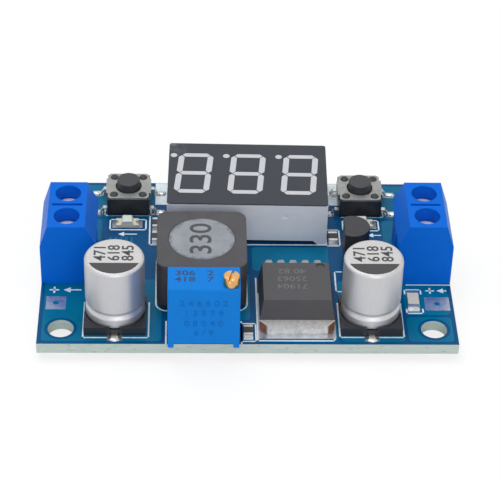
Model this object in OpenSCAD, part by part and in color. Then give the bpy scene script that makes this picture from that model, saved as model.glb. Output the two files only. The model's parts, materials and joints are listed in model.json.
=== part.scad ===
// Step-down voltage converter module with a three-digit voltmeter.
// Origin: centre of the four corner holes, on the underside of the board.
// +X runs to the input end, +Y to the back edge, +Z up through the parts.

/* [Board] */
// Length of the circuit board, from end to end
board_w = 56.3; // [54.5:0.1:62]
// Depth of the circuit board, from front to back
board_d = 35.7; // [35:0.1:42]
// Thickness of the circuit board
board_t = 1.6; // [1:0.2:2.4]
// Diameter of the corner mounting holes
mount_d = 3.5; // [2.6:0.1:3.8]
// Distance from a mounting hole's centre to both of its board edges
mount_inset = 3.1; // [2.8:0.1:3.4]
// Thickness of the tinned pads
pad_t = 0.05; // [0.03:0.01:0.08]
// Length of pin that stands out of the underside
tail_l = 1.2; // [1.15:0.05:2]

/* [Screw terminals] */
// Distance between the two poles of a terminal
pole_pitch = 5.08; // [5:0.04:5.2]
// Width of the housing at its widest
term_w = 7.3; // [7:0.1:8.2]
// Width of the housing's flat top
term_top_w = 5.1; // [4.6:0.1:5.6]
// Height of the housing above the board
term_h = 9.9; // [9:0.1:11.5]
// Height at which the sides start to slope in
term_shoulder = 6.45; // [6:0.05:7.2]
// Distance that the shoulder on the board's side stands out past its wall
term_lip = 0.35; // [0.1:0.05:0.5]
// Place of the output terminal's centre, behind the board's centre
output_term_y = -0.35; // [-1.5:0.05:1.5]
// Place of the input terminal's centre, behind the board's centre
input_term_y = -0.05; // [-1.5:0.05:1.5]
// Diameter of the clamp screw's head
screw_head_d = 3.3; // [3:0.1:3.6]
// Height of the clamp screw's head
screw_head_h = 1.25; // [0.9:0.05:1.3]
// Diameter of the clamp screw's thread
screw_d = 2.5; // [2.2:0.1:2.6]
// Thickness of the folded contact strip
contact_t = 0.5; // [0.4:0.05:0.6]
// Free height for the wire when the clamp is open
wire_gap = 1.95; // [1.7:0.05:2.1]
// Width of the clamp cage, across the wire
cage_w = 3.7; // [3.5:0.05:3.9]
// Length of the clamp cage, along the wire
cage_l = 3.4; // [3:0.1:3.5]
// Side wall of the clamp cage
cage_wall = 0.5; // [0.4:0.05:0.6]

/* [Capacitors] */
// Diameter of the capacitor can
can_d = 8; // [7:0.1:8]
// Height of the can's top above the board
can_h = 10.15; // [8:0.05:12]
// Side of the square capacitor base
cap_base_w = 8.3; // [8.2:0.1:8.6]
// Distance from the output capacitor's axis to the board's centre line
output_cap_x = 17.8; // [17.4:0.1:18.2]
// Distance from the input capacitor's axis to the board's centre line
input_cap_x = 16.55; // [16.4:0.05:17.6]
// Distance from the capacitors' axes to the board's front edge
cap_inset = 5.9; // [5.6:0.1:6.2]

/* [Inductor] */
// Side of the inductor's square shield
coil_w = 12.2; // [11:0.1:12.4]
// Height of the inductor above the board
coil_h = 7.6; // [6:0.1:9]
// Diameter of the drum core's flanges
drum_d = 8.9; // [8:0.1:9.4]
// Corner radius of the shield
coil_corner = 1.5; // [1:0.1:2.5]
// Place of the inductor, left of the board's centre
coil_x = 6.2; // [6.1:0.05:6.4]
// Shift of the inductor from midway between the trimmer and the display
coil_shift = 0.2; // [-0.5:0.05:0.5]

/* [Trimmer] */
// Width of the trimmer's housing
trim_w = 9.53; // [9:0.01:9.8]
// Depth of the trimmer's housing
trim_d = 4.83; // [4.6:0.01:5]
// Height of the trimmer's housing above the board
trim_h = 10.03; // [9:0.01:11]
// Height of the feet that lift the trimmer off the board
trim_foot_h = 0.6; // [0.4:0.05:0.8]
// Distance that the trimmer stands out past the board's front edge
trim_overhang = 0.75; // [0:0.05:1]
// Place of the trimmer's centre, left of the board's centre
trim_x = 5.97; // [5.8:0.01:6.2]
// Diameter of the adjusting screw's head
adjuster_d = 2.15; // [1.8:0.05:2.3]
// Height of the adjusting screw's head above the housing
adjuster_h = 1.5; // [1:0.1:1.8]
// Distance from the adjusting screw's axis to the two nearest sides
adjuster_inset = 1.2; // [1.2:0.05:1.5]

/* [Display] */
// Width of the display's housing
disp_w = 22.5; // [22:0.1:23]
// Depth of the display's housing
disp_d = 14.3; // [14:0.1:14.6]
// Height of the display's face above the board
disp_h = 6.95; // [6:0.05:9]
// Height of the corner feet under the display
disp_foot_h = 0.65; // [0.4:0.05:1]
// Turn of the display on the board, seen from above
disp_turn = -1.2; // [-1.5:0.1:1.5]
// Place of the display's centre, right of the board's centre
disp_x = 0.35; // [0.2:0.05:0.5]
// Distance from the display's centre to the board's back edge
disp_inset = 7; // [6.9:0.05:7.2]
// Distance between two digits
digit_pitch = 7.5; // [7.3:0.05:7.6]
// Width of one digit
digit_w = 4.95; // [4.6:0.05:5.2]
// Height of one digit
digit_h = 9.4; // [8.6:0.1:10]
// Width of a segment
segment_w = 0.82; // [0.6:0.02:1]
// Lean of the digits in degrees
digit_lean = 3.9; // [0:0.1:8]

/* [Push buttons] */
// Side of the switch's square body
switch_w = 6; // [5.8:0.1:6.2]
// Height of the metal cover's top above the board
switch_h = 3.15; // [3:0.05:3.8]
// Height of the button's top above the board
button_top = 4.35; // [4.2:0.05:7]
// Diameter of the button
button_d = 3.25; // [3:0.05:3.5]
// Travel of the button
button_travel = 0.25; // [0.15:0.05:0.3]
// Distance from the switches' centres to the board's centre line
switch_x = 16.6; // [16.4:0.1:18]
// Distance from the left switch's centre to the board's back edge
left_switch_inset = 4.9; // [4.8:0.05:5.2]
// Distance from the right switch's centre to the board's back edge
right_switch_inset = 5.05; // [4.8:0.05:5.2]

/* [Power regulator] */
// Width of the regulator's moulded body
reg_w = 10.1; // [9.8:0.1:10.2]
// Depth of the regulator's moulded body
reg_d = 8.9; // [8.4:0.1:9.1]
// Height of the regulator above the board
reg_h = 4.4; // [4:0.05:4.7]
// Thickness of the metal tab
tab_t = 1.27; // [1.1:0.01:1.4]
// Length of the tab that stands out in front of the body
tab_l = 1.3; // [1:0.1:1.6]
// Distance between the regulator's leads
reg_pitch = 1.7; // [1.6:0.05:1.75]
// Place of the regulator's centre, right of the board's centre
reg_x = 6.6; // [6.6:0.05:6.8]
// Distance from the tab's front to the board's front edge
reg_inset = 2.15; // [1.8:0.05:2.4]

/* [Small parts] */
// Diameter of the three-legged regulator's round back
small_reg_d = 4.7; // [4.4:0.1:4.8]
// Height of the three-legged regulator's moulded body
small_reg_body_h = 4.6; // [4.2:0.1:5]
// Height of the gap under the three-legged regulator
small_reg_gap = 1.4; // [1:0.1:2]
// Place of the three-legged regulator, right of the board's centre
small_reg_x = 14.75; // [14.7:0.05:15]
// Gap between the three-legged regulator and the diode
small_reg_space = 1.7; // [1.4:0.05:2.2]
// Distance from the two indicator lights to the board's centre line
led_x = 16.7; // [16.6:0.05:17.4]
// Distance from the two indicator lights to the board's back edge
led_inset = 9.95; // [9.8:0.05:10.4]
// Length of the diode's moulded body
diode_w = 4.3; // [4:0.1:4.5]
// Depth of the diode's moulded body
diode_d = 2.6; // [2.4:0.1:2.8]
// Shift of the diode from midway between the power regulator and the input terminal
diode_shift = 0.35; // [0:0.05:0.5]
// Gap between the diode and the input capacitor's base
diode_space = 1.3; // [1:0.05:1.8]
// Height of the diode above the board
diode_h = 2.2; // [2:0.1:2.4]
// Length of the controller chip on the underside
chip_w = 6.5; // [6.3:0.1:6.7]
// Depth of the controller chip on the underside
chip_d = 4.4; // [4.2:0.1:4.6]
// Thickness of the controller chip
chip_t = 0.9; // [0.8:0.05:0.95]

/* [Hidden] */
$fn = 48;

// Clearances
run_gap = 0.05;      // between a turning part and its bore
slide_gap = 0.1;     // between a sliding part and its guide
seat_gap = 0.02;     // between parts that are soldered or glued together
smd_gap = 0.1;       // under a surface-mounted body
pin_play = 0.15;     // between a pin and its plated hole
cut = 1;             // extra length of a cutting tool past a face

// Board
mount_x = board_w / 2 - mount_inset;
mount_y = board_d / 2 - mount_inset;
front_y = -board_d / 2;
back_y = board_d / 2;
wire_pad_x = board_w / 2 - 2.2;
wire_pad_y = mount_y - 5.3;
wire_pad_hole_d = 0.8;
pad_margin = 0.25;
solder_w = 0.6;
solder_h = 0.9;
cap_pad = [2, 3];
coil_pad_l = 2.6;
switch_pad_l = 1.5;
tab_pad_front = 1.05;
tab_pad_l = 9.5;
reg_pad_l = 2.4;
led_pad_l = 1.1;
chip_pad_l = 1;
chip_foot_pad_l = 1;
output_pad = [2.7, 2.75];
input_pad = [3.4, 2.8];

// Screw terminals, in a frame with +X towards the wire entry
term_x = board_w / 2 - term_w / 2;
term_len = 2 * pole_pitch;
output_term = [-term_x, output_term_y];
input_term = [term_x, input_term_y];
contact_w = cage_w - 2 * cage_wall - 2 * slide_gap;
contact_pin_d = 1;
cage_floor = 0.6;
cage_roof = 0.9;
cage_z = contact_t + slide_gap;
tongue_z = cage_z + cage_floor + wire_gap;
cage_h = tongue_z + contact_t + run_gap + cage_roof - cage_z;
cage_lift = wire_gap - run_gap;
chamber_h = cage_z + cage_h + cage_lift + slide_gap;
chamber_w = cage_w + 2 * slide_gap;
chamber_front = cage_l / 2 + slide_gap;
contact_back = -cage_l / 2 - 0.35 - contact_t;
chamber_back = contact_back - slide_gap;
well_d = screw_head_d + 2 * slide_gap;
screw_head_z = chamber_h + slide_gap;
entry_w = cage_w - 2 * cage_wall + 0.2;
divider_w = 0.4;
divider_depth = 0.5;
notch_w = 0.7;
notch_depth = 0.12;
notch_h = 4.8;
lip_low = 0.6;
lip_high = 0.3;

// Capacitors
output_cap = [-output_cap_x, front_y + cap_inset];
input_cap = [input_cap_x, front_y + cap_inset];
cap_post_h = 1.35;
cap_seat_z = 0.9;
cap_corner = 1.7;
cap_lead_w = 0.9;
cap_lead_t = 0.3;
cap_lead_out = 0.85;
crimp_z = cap_seat_z + 2;
crimp_h = 1.3;
crimp_depth = 0.32;
can_edge_r = 0.5;
vent_w = 0.3;
vent_depth = 0.06;

// Trimmer
trim = [-trim_x, front_y - trim_overhang + trim_d / 2];
trim_edge = 0.18;
trim_foot_w = 0.8;
trim_pin_d = 0.5;
trim_pitch = 2.54;
trim_pot_depth = 0.4;
adjuster_bore_depth = 6.5;
adjuster_shank_d = adjuster_d - 0.5;
adjuster_slot = [0.32, 0.55];
adjuster = trim + [trim_w / 2 - adjuster_inset, -trim_d / 2 + adjuster_inset];

// Display
disp = [disp_x, back_y - disp_inset];
disp_front = disp[1] - disp_d / 2;
disp_film_t = 0.15;
disp_foot_w = 1.7;
disp_segment_depth = 0.5;
disp_pin_d = 0.5;
disp_pin_pitch = 2.54;
disp_row_y = 5.08;
disp_cavity_h = 1.2;
disp_wall = 0.9;
digit_shift = -0.12;
dot_offset = [-2.93, 4.2];
dot_d = 0.95;
mitre_gap = 0.08;
gate_x = 5.3;
gate_z = 4.9;
gate_d = 0.9;
gate_depth = 0.08;

// Inductor
coil = [-coil_x, (trim[1] + trim_d / 2 + disp_front) / 2 + coil_shift];
coil_base_t = 0.7;
drum_gap = 0.06;
drum_recess = 0.04;
drum_flange_t = 1.1;
drum_waist_d = drum_d * 0.5;
wire_turns = 7;
coil_terminal_w = 5;
coil_terminal_t = 0.25;
coil_foot_l = 2;
coil_clip_h = 1.7;

// Push buttons
left_switch = [-switch_x, back_y - left_switch_inset];
right_switch = [switch_x, back_y - right_switch_inset];
cover_t = 0.3;
cover_w = switch_w - 0.15;
cover_hole_d = button_d + 0.5;
cover_z = switch_h - cover_t;
rivet_at = switch_w / 2 - 0.95;
rivet_d = 1.15;
flange_d = button_d + 0.95;
flange_t = 0.45;
flange_z = cover_z - slide_gap - flange_t;
dome_h = 0.5;
dome_z = flange_z - 0.35 - dome_h;
dome_d = flange_d - 0.4;
dome_t = 0.1;
leg_w = 0.7;
leg_t = 0.2;
leg_pitch = 4.5;
leg_reach = switch_w / 2 + 1.75;
leg_rise = 0.8;
leg_start = 0.55;
leg_foot_l = 0.65;

// Power regulator: its body's centre
reg = [reg_x, front_y + reg_inset + tab_l + reg_d / 2];
reg_draft = 0.5;
reg_line_z = 1.4;
reg_lead_w = 0.8;
reg_lead_t = 0.45;
reg_lead_z = 2.5;
reg_lead_reach = 4.9;
reg_lead_seat = 0.6;
tab_seat = reg_d - 2.2;
tab_corner = 1;
dimple_d = 1.2;
dimple_depth = 0.2;
dimple_inset = [1.7, 1.2];

// Small parts
small_reg_flat = 1.2;
small_leg_w = 0.45;
small_leg_pitch = 1.27;
led_y = back_y - led_inset;
led_size = [3.2, 1.6];
led_base_t = 0.5;
led_lens_w = 1.8;
led_lens_h = 0.6;
chip_0805 = [2, 1.25, 0.5];
chip_1206 = [3.2, 1.6, 0.55];
// Each chip part: place of its centre and its size, with its length along Y
chips = [[[disp[0] + disp_w / 2 + 0.85, disp[1] - 6], chip_0805],
    [[trim[0] + trim_w / 2 + 1.23, trim[1] + 0.7], chip_0805],
    [[disp[0] - disp_w / 2 - 1.6, disp[1] - 2.95], chip_0805],
    [[disp[0] - disp_w / 2 - 1.6, disp[1] - 6.1], chip_0805],
    [[input_cap[0] + cap_base_w / 2 + 2, input_cap[1] + 3], chip_1206]];
chip_end_t = 0.04;
chip_end_l = 0.4;
diode = [(reg[0] + reg_w / 2 + input_term[0] - term_w / 2) / 2 + diode_shift,
    input_cap[1] + cap_base_w / 2 + diode_space + diode_d / 2];
small_reg = [small_reg_x, diode[1] + diode_d / 2 + small_reg_space + small_reg_d / 2];
diode_line_z = 1.1;
diode_draft = 0.2;
diode_lead_w = 1.4;
diode_lead_t = 0.2;
diode_reach = 0.55;
controller = disp;
chip_lead_count = 10;
chip_lead_pitch = 0.65;
chip_lead_w = 0.25;
chip_lead_t = 0.15;
chip_lead_reach = 1;

// Every soldered pin that goes through the board: place and diameter
through_pins = concat(
    [for (t = [output_term, input_term], s = [-1, 1]) [t[0], t[1] + s * pole_pitch / 2, contact_pin_d]],
    [for (i = [-1:1]) [trim[0] + i * trim_pitch, trim[1], trim_pin_d]],
    [for (p = display_pin_places()) let (q = turned(p, disp_turn)) [disp[0] + q[0], disp[1] + q[1], disp_pin_d]],
    [for (i = [-1:1]) [small_reg[0], small_reg[1] + i * small_leg_pitch, small_leg_w]]);

function turned(p, a) = [p[0] * cos(a) - p[1] * sin(a), p[0] * sin(a) + p[1] * cos(a)];

// Six pins in the front row and five in the back row
function display_pin_places() = concat(
    [for (i = [0:5]) [(i - 2.5) * disp_pin_pitch, -disp_row_y]],
    [for (i = [0:4]) [(i - 2.5) * disp_pin_pitch, disp_row_y]]);

// Outline of a strip of thickness t that is folded along a path, with mitred corners
function side_of(a, b) = let (d = (b - a) / norm(b - a)) [-d[1], d[0]];
function mitre(p, i) = i == 0 ? side_of(p[0], p[1])
    : i == len(p) - 1 ? side_of(p[i - 1], p[i])
    : let (m = side_of(p[i - 1], p[i]) + side_of(p[i], p[i + 1])) 2 * m / (m * m);
function strip_outline(p, t) = concat(
    [for (i = [0:len(p) - 1]) p[i] + mitre(p, i) * t / 2],
    [for (i = [len(p) - 1:-1:0]) p[i] - mitre(p, i) * t / 2]);

// Points of an arc
function arc(c, r, from, to, n) = [for (i = [0:n]) let (a = from + (to - from) * i / n)
    c + r * [cos(a), sin(a)]];

// A folded strip: its path lies in X and Z, and its width along Y
module strip(path, t, w) {
    rotate([90, 0, 0]) linear_extrude(w, center = true) polygon(strip_outline(path, t));
}

// Stands its children on the board's top
module on_board(place, turn = 0) {
    translate([place[0], place[1], board_t]) rotate(turn) children();
}

module box(size) {
    translate([-size[0] / 2, -size[1] / 2, 0]) cube(size);
}

module rounded_square(w, d, r) {
    square([w - 2 * r, d], center = true);
    square([w, d - 2 * r], center = true);
    for (x = [-1, 1], y = [-1, 1]) translate([x * (w / 2 - r), y * (d / 2 - r)]) circle(r);
}

module chamfered_square(w, d, c) {
    polygon([[-w / 2 + c, -d / 2], [w / 2 - c, -d / 2], [w / 2, -d / 2 + c], [w / 2, d / 2 - c],
        [w / 2 - c, d / 2], [-w / 2 + c, d / 2], [-w / 2, d / 2 - c], [-w / 2, -d / 2 + c]]);
}

// A block from z = 0 with all its edges chamfered by c
module chamfered_block(w, d, h, c) {
    intersection() {
        linear_extrude(h) chamfered_square(w, d, c);
        translate([0, 0, h / 2]) rotate([90, 0, 0]) linear_extrude(d, center = true) chamfered_square(w, h, c);
        translate([0, 0, h / 2]) rotate([90, 0, 90]) linear_extrude(w, center = true) chamfered_square(d, h, c);
    }
}

// A moulded body that narrows above and below its parting line
module moulded_body(w, d, z0, z_line, z1, draft) {
    function side(s, low) = [[-s / 2 + low, z0], [s / 2 - low, z0], [s / 2, z_line],
        [s / 2 - draft, z1], [-s / 2 + draft, z1], [-s / 2, z_line]];
    low = draft * (z_line - z0) / (z1 - z_line);
    intersection() {
        rotate([90, 0, 0]) linear_extrude(d, center = true) polygon(side(w, low));
        rotate([90, 0, 90]) linear_extrude(w, center = true) polygon(side(d, low));
    }
}

// ---------- Board ----------

module circuit_board() {
    color([0.02, 0.36, 0.50]) difference() {
        translate([-board_w / 2, -board_d / 2, 0]) cube([board_w, board_d, board_t]);
        for (x = [-mount_x, mount_x], y = [-mount_y, mount_y])
            translate([x, y, -cut]) cylinder(d = mount_d, h = board_t + 2 * cut);
        for (x = [-wire_pad_x, wire_pad_x], y = [-wire_pad_y, wire_pad_y])
            translate([x, y, -cut]) cylinder(d = wire_pad_hole_d, h = board_t + 2 * cut);
        for (p = through_pins)
            translate([p[0], p[1], -cut]) cylinder(d = p[2] + 2 * pin_play, h = board_t + 2 * cut);
    }
}

module pad(x, y, w, d) {
    translate([x, y, 0]) box([w, d, pad_t]);
}

// The tinned pads on the top and the underside. Each reaches a little past its lead.
module solder_pads() {
    color([0.78, 0.78, 0.76]) {
        translate([0, 0, board_t]) top_pads();
        for (side = [0, 1]) translate([0, 0, side * (board_t + pad_t) - pad_t]) wire_pads();
        translate([controller[0], controller[1], -pad_t]) for (s = [-1, 1])
            for (i = [0:chip_lead_count - 1])
                pad((i - (chip_lead_count - 1) / 2) * chip_lead_pitch,
                    s * (chip_d / 2 + chip_lead_reach + pad_margin - chip_foot_pad_l / 2),
                    chip_lead_w + 0.1, chip_foot_pad_l);
    }
}

module wire_pads() {
    for (y = [-wire_pad_y, wire_pad_y]) {
        wire_pad([-wire_pad_x, y], output_pad);
        wire_pad([wire_pad_x, y], input_pad);
    }
}

module wire_pad(place, size) {
    translate([place[0], place[1], 0]) difference() {
        box([size[0], size[1], pad_t]);
        translate([0, 0, -cut]) cylinder(d = wire_pad_hole_d, h = pad_t + 2 * cut);
    }
}

module top_pads() {
    for (c = [output_cap, input_cap], s = [-1, 1])
        pad(c[0], c[1] + s * (cap_base_w / 2 - 0.35), cap_pad[0], cap_pad[1]);
    for (s = [-1, 1])
        pad(coil[0], coil[1] + s * (coil_w / 2 - coil_pad_l / 4), coil_terminal_w + 2 * pad_margin, coil_pad_l);
    for (c = [left_switch, right_switch], x = [-1, 1], y = [-1, 1])
        pad(c[0] + x * (leg_reach - 0.3), c[1] + y * leg_pitch / 2, switch_pad_l, leg_w + 2 * pad_margin);
    pad(reg[0], reg[1] - reg_d / 2 - tab_l - tab_pad_front + tab_pad_l / 2, reg_w + pad_margin, tab_pad_l);
    for (i = [-2:2])
        pad(reg[0] + i * reg_pitch, reg[1] + reg_d / 2 + reg_lead_reach + pad_margin - reg_pad_l / 2,
            reg_lead_w + pad_margin, reg_pad_l);
    for (x = [-1, 1], s = [-1, 1])
        pad(x * led_x + s * led_size[0] / 2, led_y, led_pad_l, led_size[1]);
    for (c = chips, s = [-1, 1]) pad(c[0][0], c[0][1] + s * c[1][0] / 2, c[1][1], chip_pad_l);
    for (s = [-1, 1])
        pad(diode[0] + s * diode_w / 2, diode[1], 2 * diode_reach + pad_margin, diode_lead_w + 2 * pad_margin);
}

// One cone of solder that wets a pin under the board, with hollow sides and its tip down
module solder_cone(d) {
    inner = d / 2 + seat_gap;
    outer = inner + solder_w;
    lip = 0.08;
    rotate_extrude() polygon(concat([[inner, 0], [outer, 0], [outer, -lip]],
        [for (i = [1:6]) let (a = 90 * i / 6)
            [outer - (solder_w - lip) * sin(a), -lip - (solder_h - lip) * (1 - cos(a))]],
        [[inner, -solder_h]]));
}

module solder_joints() {
    color([0.80, 0.80, 0.79]) for (p = through_pins) translate([p[0], p[1], 0]) solder_cone(p[2]);
}

// ---------- Screw terminals ----------

module at_output_terminal() {
    on_board(output_term, 180) children();
}

module at_input_terminal() {
    on_board(input_term) children();
}

// One of the terminal's two poles: side is -1 or 1 along its own Y
module at_pole(side) {
    translate([0, side * pole_pitch / 2, 0]) children();
}

// The funnel that leads a wire into the cage
module wire_entry() {
    x1 = term_w / 2 + 0.01;
    low = cage_z + cage_floor - 0.15;
    high = tongue_z + 0.15;
    flare = 0.4;
    intersection() {
        linear_extrude(term_shoulder) polygon([[0, -entry_w / 2], [chamber_front + 0.6, -entry_w / 2],
            [x1, -entry_w / 2 - flare], [x1, entry_w / 2 + flare], [chamber_front + 0.6, entry_w / 2],
            [0, entry_w / 2]]);
        rotate([90, 0, 0]) linear_extrude(entry_w + 4, center = true) polygon([[0, low],
            [chamber_front + 0.6, low], [x1, low - flare], [x1, high + flare],
            [chamber_front + 0.6, high], [0, high]]);
    }
}

module terminal_housing() {
    half = term_w / 2;
    color([0.05, 0.42, 0.85]) difference() {
        rotate([90, 0, 0]) linear_extrude(term_len, center = true) polygon([[-half, 0], [half, 0],
            [half, term_shoulder], [term_top_w / 2, term_h], [-term_top_w / 2, term_h],
            [-half - term_lip, term_shoulder + lip_high], [-half, term_shoulder - lip_low]]);
        for (s = [-1, 1]) translate([0, s * pole_pitch / 2, 0]) {
            translate([0, 0, chamber_h - cut]) cylinder(d = well_d, h = term_h);
            translate([chamber_back, -chamber_w / 2, -cut])
                cube([chamber_front - chamber_back, chamber_w, chamber_h + cut]);
            wire_entry();
        }
        translate([0, 0, term_h - divider_depth]) box([term_top_w - 1, divider_w, cut]);
        for (s = [-1, 1]) translate([s * (half - notch_w / 2), s * (term_len / 2 - notch_depth / 2), -cut])
            box([notch_w + 0.01, notch_depth + 0.01, notch_h + cut]);
        translate([-half, 0, -cut]) box([0.4, 0.6, term_shoulder - lip_low + cut]);
    }
}

module terminal_contacts() {
    color([0.82, 0.80, 0.70]) for (s = [-1, 1]) translate([0, s * pole_pitch / 2, 0]) {
        strip([[cage_l / 2, tongue_z + contact_t / 2], [contact_back + contact_t / 2, tongue_z + contact_t / 2],
            [contact_back + contact_t / 2, contact_t / 2], [0.9, contact_t / 2]], contact_t, contact_w);
        translate([0, 0, -board_t - tail_l]) cylinder(d = contact_pin_d, h = board_t + tail_l + contact_t / 2);
    }
}

// The square clamp that the screw lifts, at its lowest
module cage() {
    color([0.70, 0.70, 0.68]) translate([0, 0, cage_z]) difference() {
        box([cage_l, cage_w, cage_h]);
        translate([-cage_l / 2 - cut, -cage_w / 2 + cage_wall, cage_floor])
            cube([cage_l + 2 * cut, cage_w - 2 * cage_wall, cage_h - cage_floor - cage_roof]);
        translate([0, 0, cage_h - cage_roof - cut]) cylinder(d = screw_d + 2 * run_gap, h = cage_roof + 2 * cut);
    }
}

// The slotted clamp screw: its tip bears on the contact's tongue
module clamp_screw() {
    crown = 0.2;
    tip_z = tongue_z + contact_t + seat_gap;
    color([0.78, 0.77, 0.74]) difference() {
        rotate_extrude() polygon(concat([[0, tip_z], [screw_d / 2 - 0.3, tip_z], [screw_d / 2, tip_z + 0.3],
            [screw_d / 2, screw_head_z], [screw_head_d / 2, screw_head_z],
            [screw_head_d / 2, screw_head_z + screw_head_h - crown]],
            [for (i = [1:5]) let (a = 90 * i / 5) [screw_head_d / 2 * cos(a), screw_head_z + screw_head_h - crown * (1 - sin(a))]]));
        translate([0, 0, screw_head_z + screw_head_h - 0.55]) box([screw_head_d + cut, 0.55, cut]);
    }
}

// ---------- Capacitors ----------

// The moulded base: a plate with four corner posts and two cut corners at the back
module capacitor_base() {
    half = cap_base_w / 2;
    color([0.07, 0.07, 0.08]) difference() {
        translate([0, 0, smd_gap]) linear_extrude(cap_post_h - smd_gap) polygon([[-half, -half], [half, -half],
            [half, half - cap_corner], [half - cap_corner, half], [-half + cap_corner, half],
            [-half, half - cap_corner]]);
        translate([0, 0, cap_seat_z]) cylinder(r = half + 0.05, h = cut);
        for (s = [-1, 1]) translate([0, s * half, -cut])
            box([cap_lead_w + 0.2, 2 * half - 2.4, cut + pad_t + cap_lead_t + seat_gap]);
    }
}

// The drawn can with its rolled crimp and the scored vent in its top
module capacitor_can() {
    r = can_d / 2;
    color([0.80, 0.80, 0.81]) rotate_extrude() polygon(concat(
        [[0, cap_seat_z]], arc([r - 0.35, cap_seat_z + 0.3], 0.3, -90, 0, 4),
        [[r, cap_seat_z + 0.6]],
        [for (i = [0:10]) let (a = 360 * i / 10) [r - crimp_depth * (1 - cos(a)) / 2, crimp_z + crimp_h * (i / 10 - 0.5)]],
        arc([r - can_edge_r, can_h - can_edge_r], can_edge_r, 0, 90, 6), [[0, can_h]]));
}

module capacitor_leads() {
    color([0.82, 0.82, 0.80]) for (s = [0, 180]) rotate(s)
        translate([-cap_lead_w / 2, 1.4, pad_t])
            cube([cap_lead_w, cap_base_w / 2 + cap_lead_out - 1.4, cap_lead_t]);
}

// ---------- Inductor ----------

// The square ferrite shield, bored for the drum
module inductor_shield() {
    color([0.27, 0.27, 0.29]) on_board(coil) difference() {
        translate([0, 0, coil_base_t]) linear_extrude(coil_h - coil_base_t) rounded_square(coil_w, coil_w, coil_corner);
        translate([0, 0, -cut]) cylinder(d = drum_d + 2 * drum_gap, h = coil_h + 2 * cut);
    }
}

module inductor_drum() {
    r = drum_d / 2;
    waist = drum_waist_d / 2;
    low = coil_base_t + drum_gap;
    high = coil_h - drum_recess;
    color([0.50, 0.51, 0.53]) on_board(coil) rotate_extrude() polygon([[0, low], [r, low],
        [r, low + drum_flange_t - 0.2], [waist, low + drum_flange_t], [waist, high - drum_flange_t],
        [r, high - drum_flange_t + 0.2], [r, high], [0, high]]);
}

// The copper winding, with a rounded bulge for each turn
module inductor_winding() {
    low = coil_base_t + drum_gap + drum_flange_t + 0.1;
    high = coil_h - drum_recess - drum_flange_t - 0.1;
    pitch = (high - low) / wire_turns;
    inner = drum_waist_d / 2 + seat_gap;
    outer = drum_d / 2 - 0.3 - pitch / 2;
    color([0.72, 0.40, 0.18]) on_board(coil) rotate_extrude() polygon(concat([[inner, low]],
        [for (i = [0:wire_turns - 1], p = arc([outer, low + (i + 0.5) * pitch], pitch / 2, -80, 80, 6)) p],
        [[inner, high]]));
}

// The plastic tray under the ferrite
module inductor_base() {
    color([0.10, 0.10, 0.11]) on_board(coil) difference() {
        translate([0, 0, smd_gap]) linear_extrude(coil_base_t - smd_gap)
            rounded_square(coil_w - 0.3, coil_w - 0.3, coil_corner);
        for (s = [-1, 1]) translate([0, s * coil_w / 2, 0])
            box([coil_terminal_w + 0.2, 2 * (coil_foot_l + slide_gap), pad_t + coil_terminal_t + seat_gap]);
    }
}

// Two tinned clips, at the front and the back, folded up against the shield
module inductor_terminals() {
    z = pad_t + coil_terminal_t / 2;
    x = coil_w / 2 + seat_gap + coil_terminal_t / 2;
    color([0.82, 0.82, 0.80]) on_board(coil) for (s = [-90, 90]) rotate(s)
        strip([[coil_w / 2 - coil_foot_l, z], [x, z], [x, coil_clip_h]], coil_terminal_t, coil_terminal_w);
}

// ---------- Trimmer ----------

module trimmer_housing() {
    color([0.10, 0.48, 0.85]) difference() {
        on_board(trim) difference() {
            union() {
                translate([0, 0, trim_foot_h]) chamfered_block(trim_w, trim_d, trim_h - trim_foot_h, trim_edge);
                for (x = [-1, 1], y = [-1, 1])
                    translate([x * (trim_w - trim_foot_w) / 2, y * (trim_d - trim_foot_w) / 2, 0])
                        box([trim_foot_w, trim_foot_w, trim_foot_h + 2 * trim_edge]);
            }
            translate([0, 0, -cut]) box([trim_w - 2 * trim_foot_w, trim_d - 1, trim_foot_h + trim_pot_depth + cut]);
        }
        translate([adjuster[0], adjuster[1], board_t + trim_h - adjuster_bore_depth])
            cylinder(d = adjuster_shank_d + 2 * run_gap, h = adjuster_bore_depth + cut);
    }
}

// The brass adjusting screw, slotted across its head
module trimmer_screw() {
    top = trim_h + adjuster_h;
    shank = adjuster_shank_d / 2;
    head = adjuster_d / 2;
    bottom = trim_h - adjuster_bore_depth + slide_gap;
    color([0.85, 0.62, 0.33]) on_board(adjuster) difference() {
        rotate_extrude() polygon([[0, bottom], [shank, bottom], [shank, trim_h + run_gap],
            [head, trim_h + run_gap], [head, top - 0.15], [head - 0.15, top], [0, top]]);
        rotate(75) translate([0, 0, top - adjuster_slot[1]]) box([adjuster_d + cut, adjuster_slot[0], cut]);
    }
}

module trimmer_pins() {
    high = trim_foot_h + trim_pot_depth;
    color([0.82, 0.82, 0.80]) on_board(trim) for (i = [-1:1])
        translate([i * trim_pitch, 0, -board_t - tail_l]) cylinder(d = trim_pin_d, h = board_t + tail_l + high);
}

// ---------- Display ----------

module at_display() {
    on_board(disp, disp_turn) children();
}

// One bar with pointed ends: it runs from a to b, with its points held back by the mitre gap
module bar(a, b) {
    d = (b - a) / norm(b - a);
    n = [-d[1], d[0]] * segment_w / 2;
    p = a + d * mitre_gap;
    q = b - d * mitre_gap;
    e = d * segment_w / 2;
    polygon([p, p + e + n, q - e + n, q, q - e - n, p + e - n]);
}

// Seven segments and the point at the upper left of one digit
module digit() {
    x = (digit_w - segment_w) / 2;
    y = (digit_h - segment_w) / 2;
    corners = [[-x, -y], [x, -y], [-x, 0], [x, 0], [-x, y], [x, y]];
    ends = [[0, 1], [2, 3], [4, 5], [0, 2], [1, 3], [2, 4], [3, 5]];
    for (e = ends) bar(leaned(corners[e[0]]), leaned(corners[e[1]]));
    translate(dot_offset) circle(d = dot_d);
}

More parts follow.
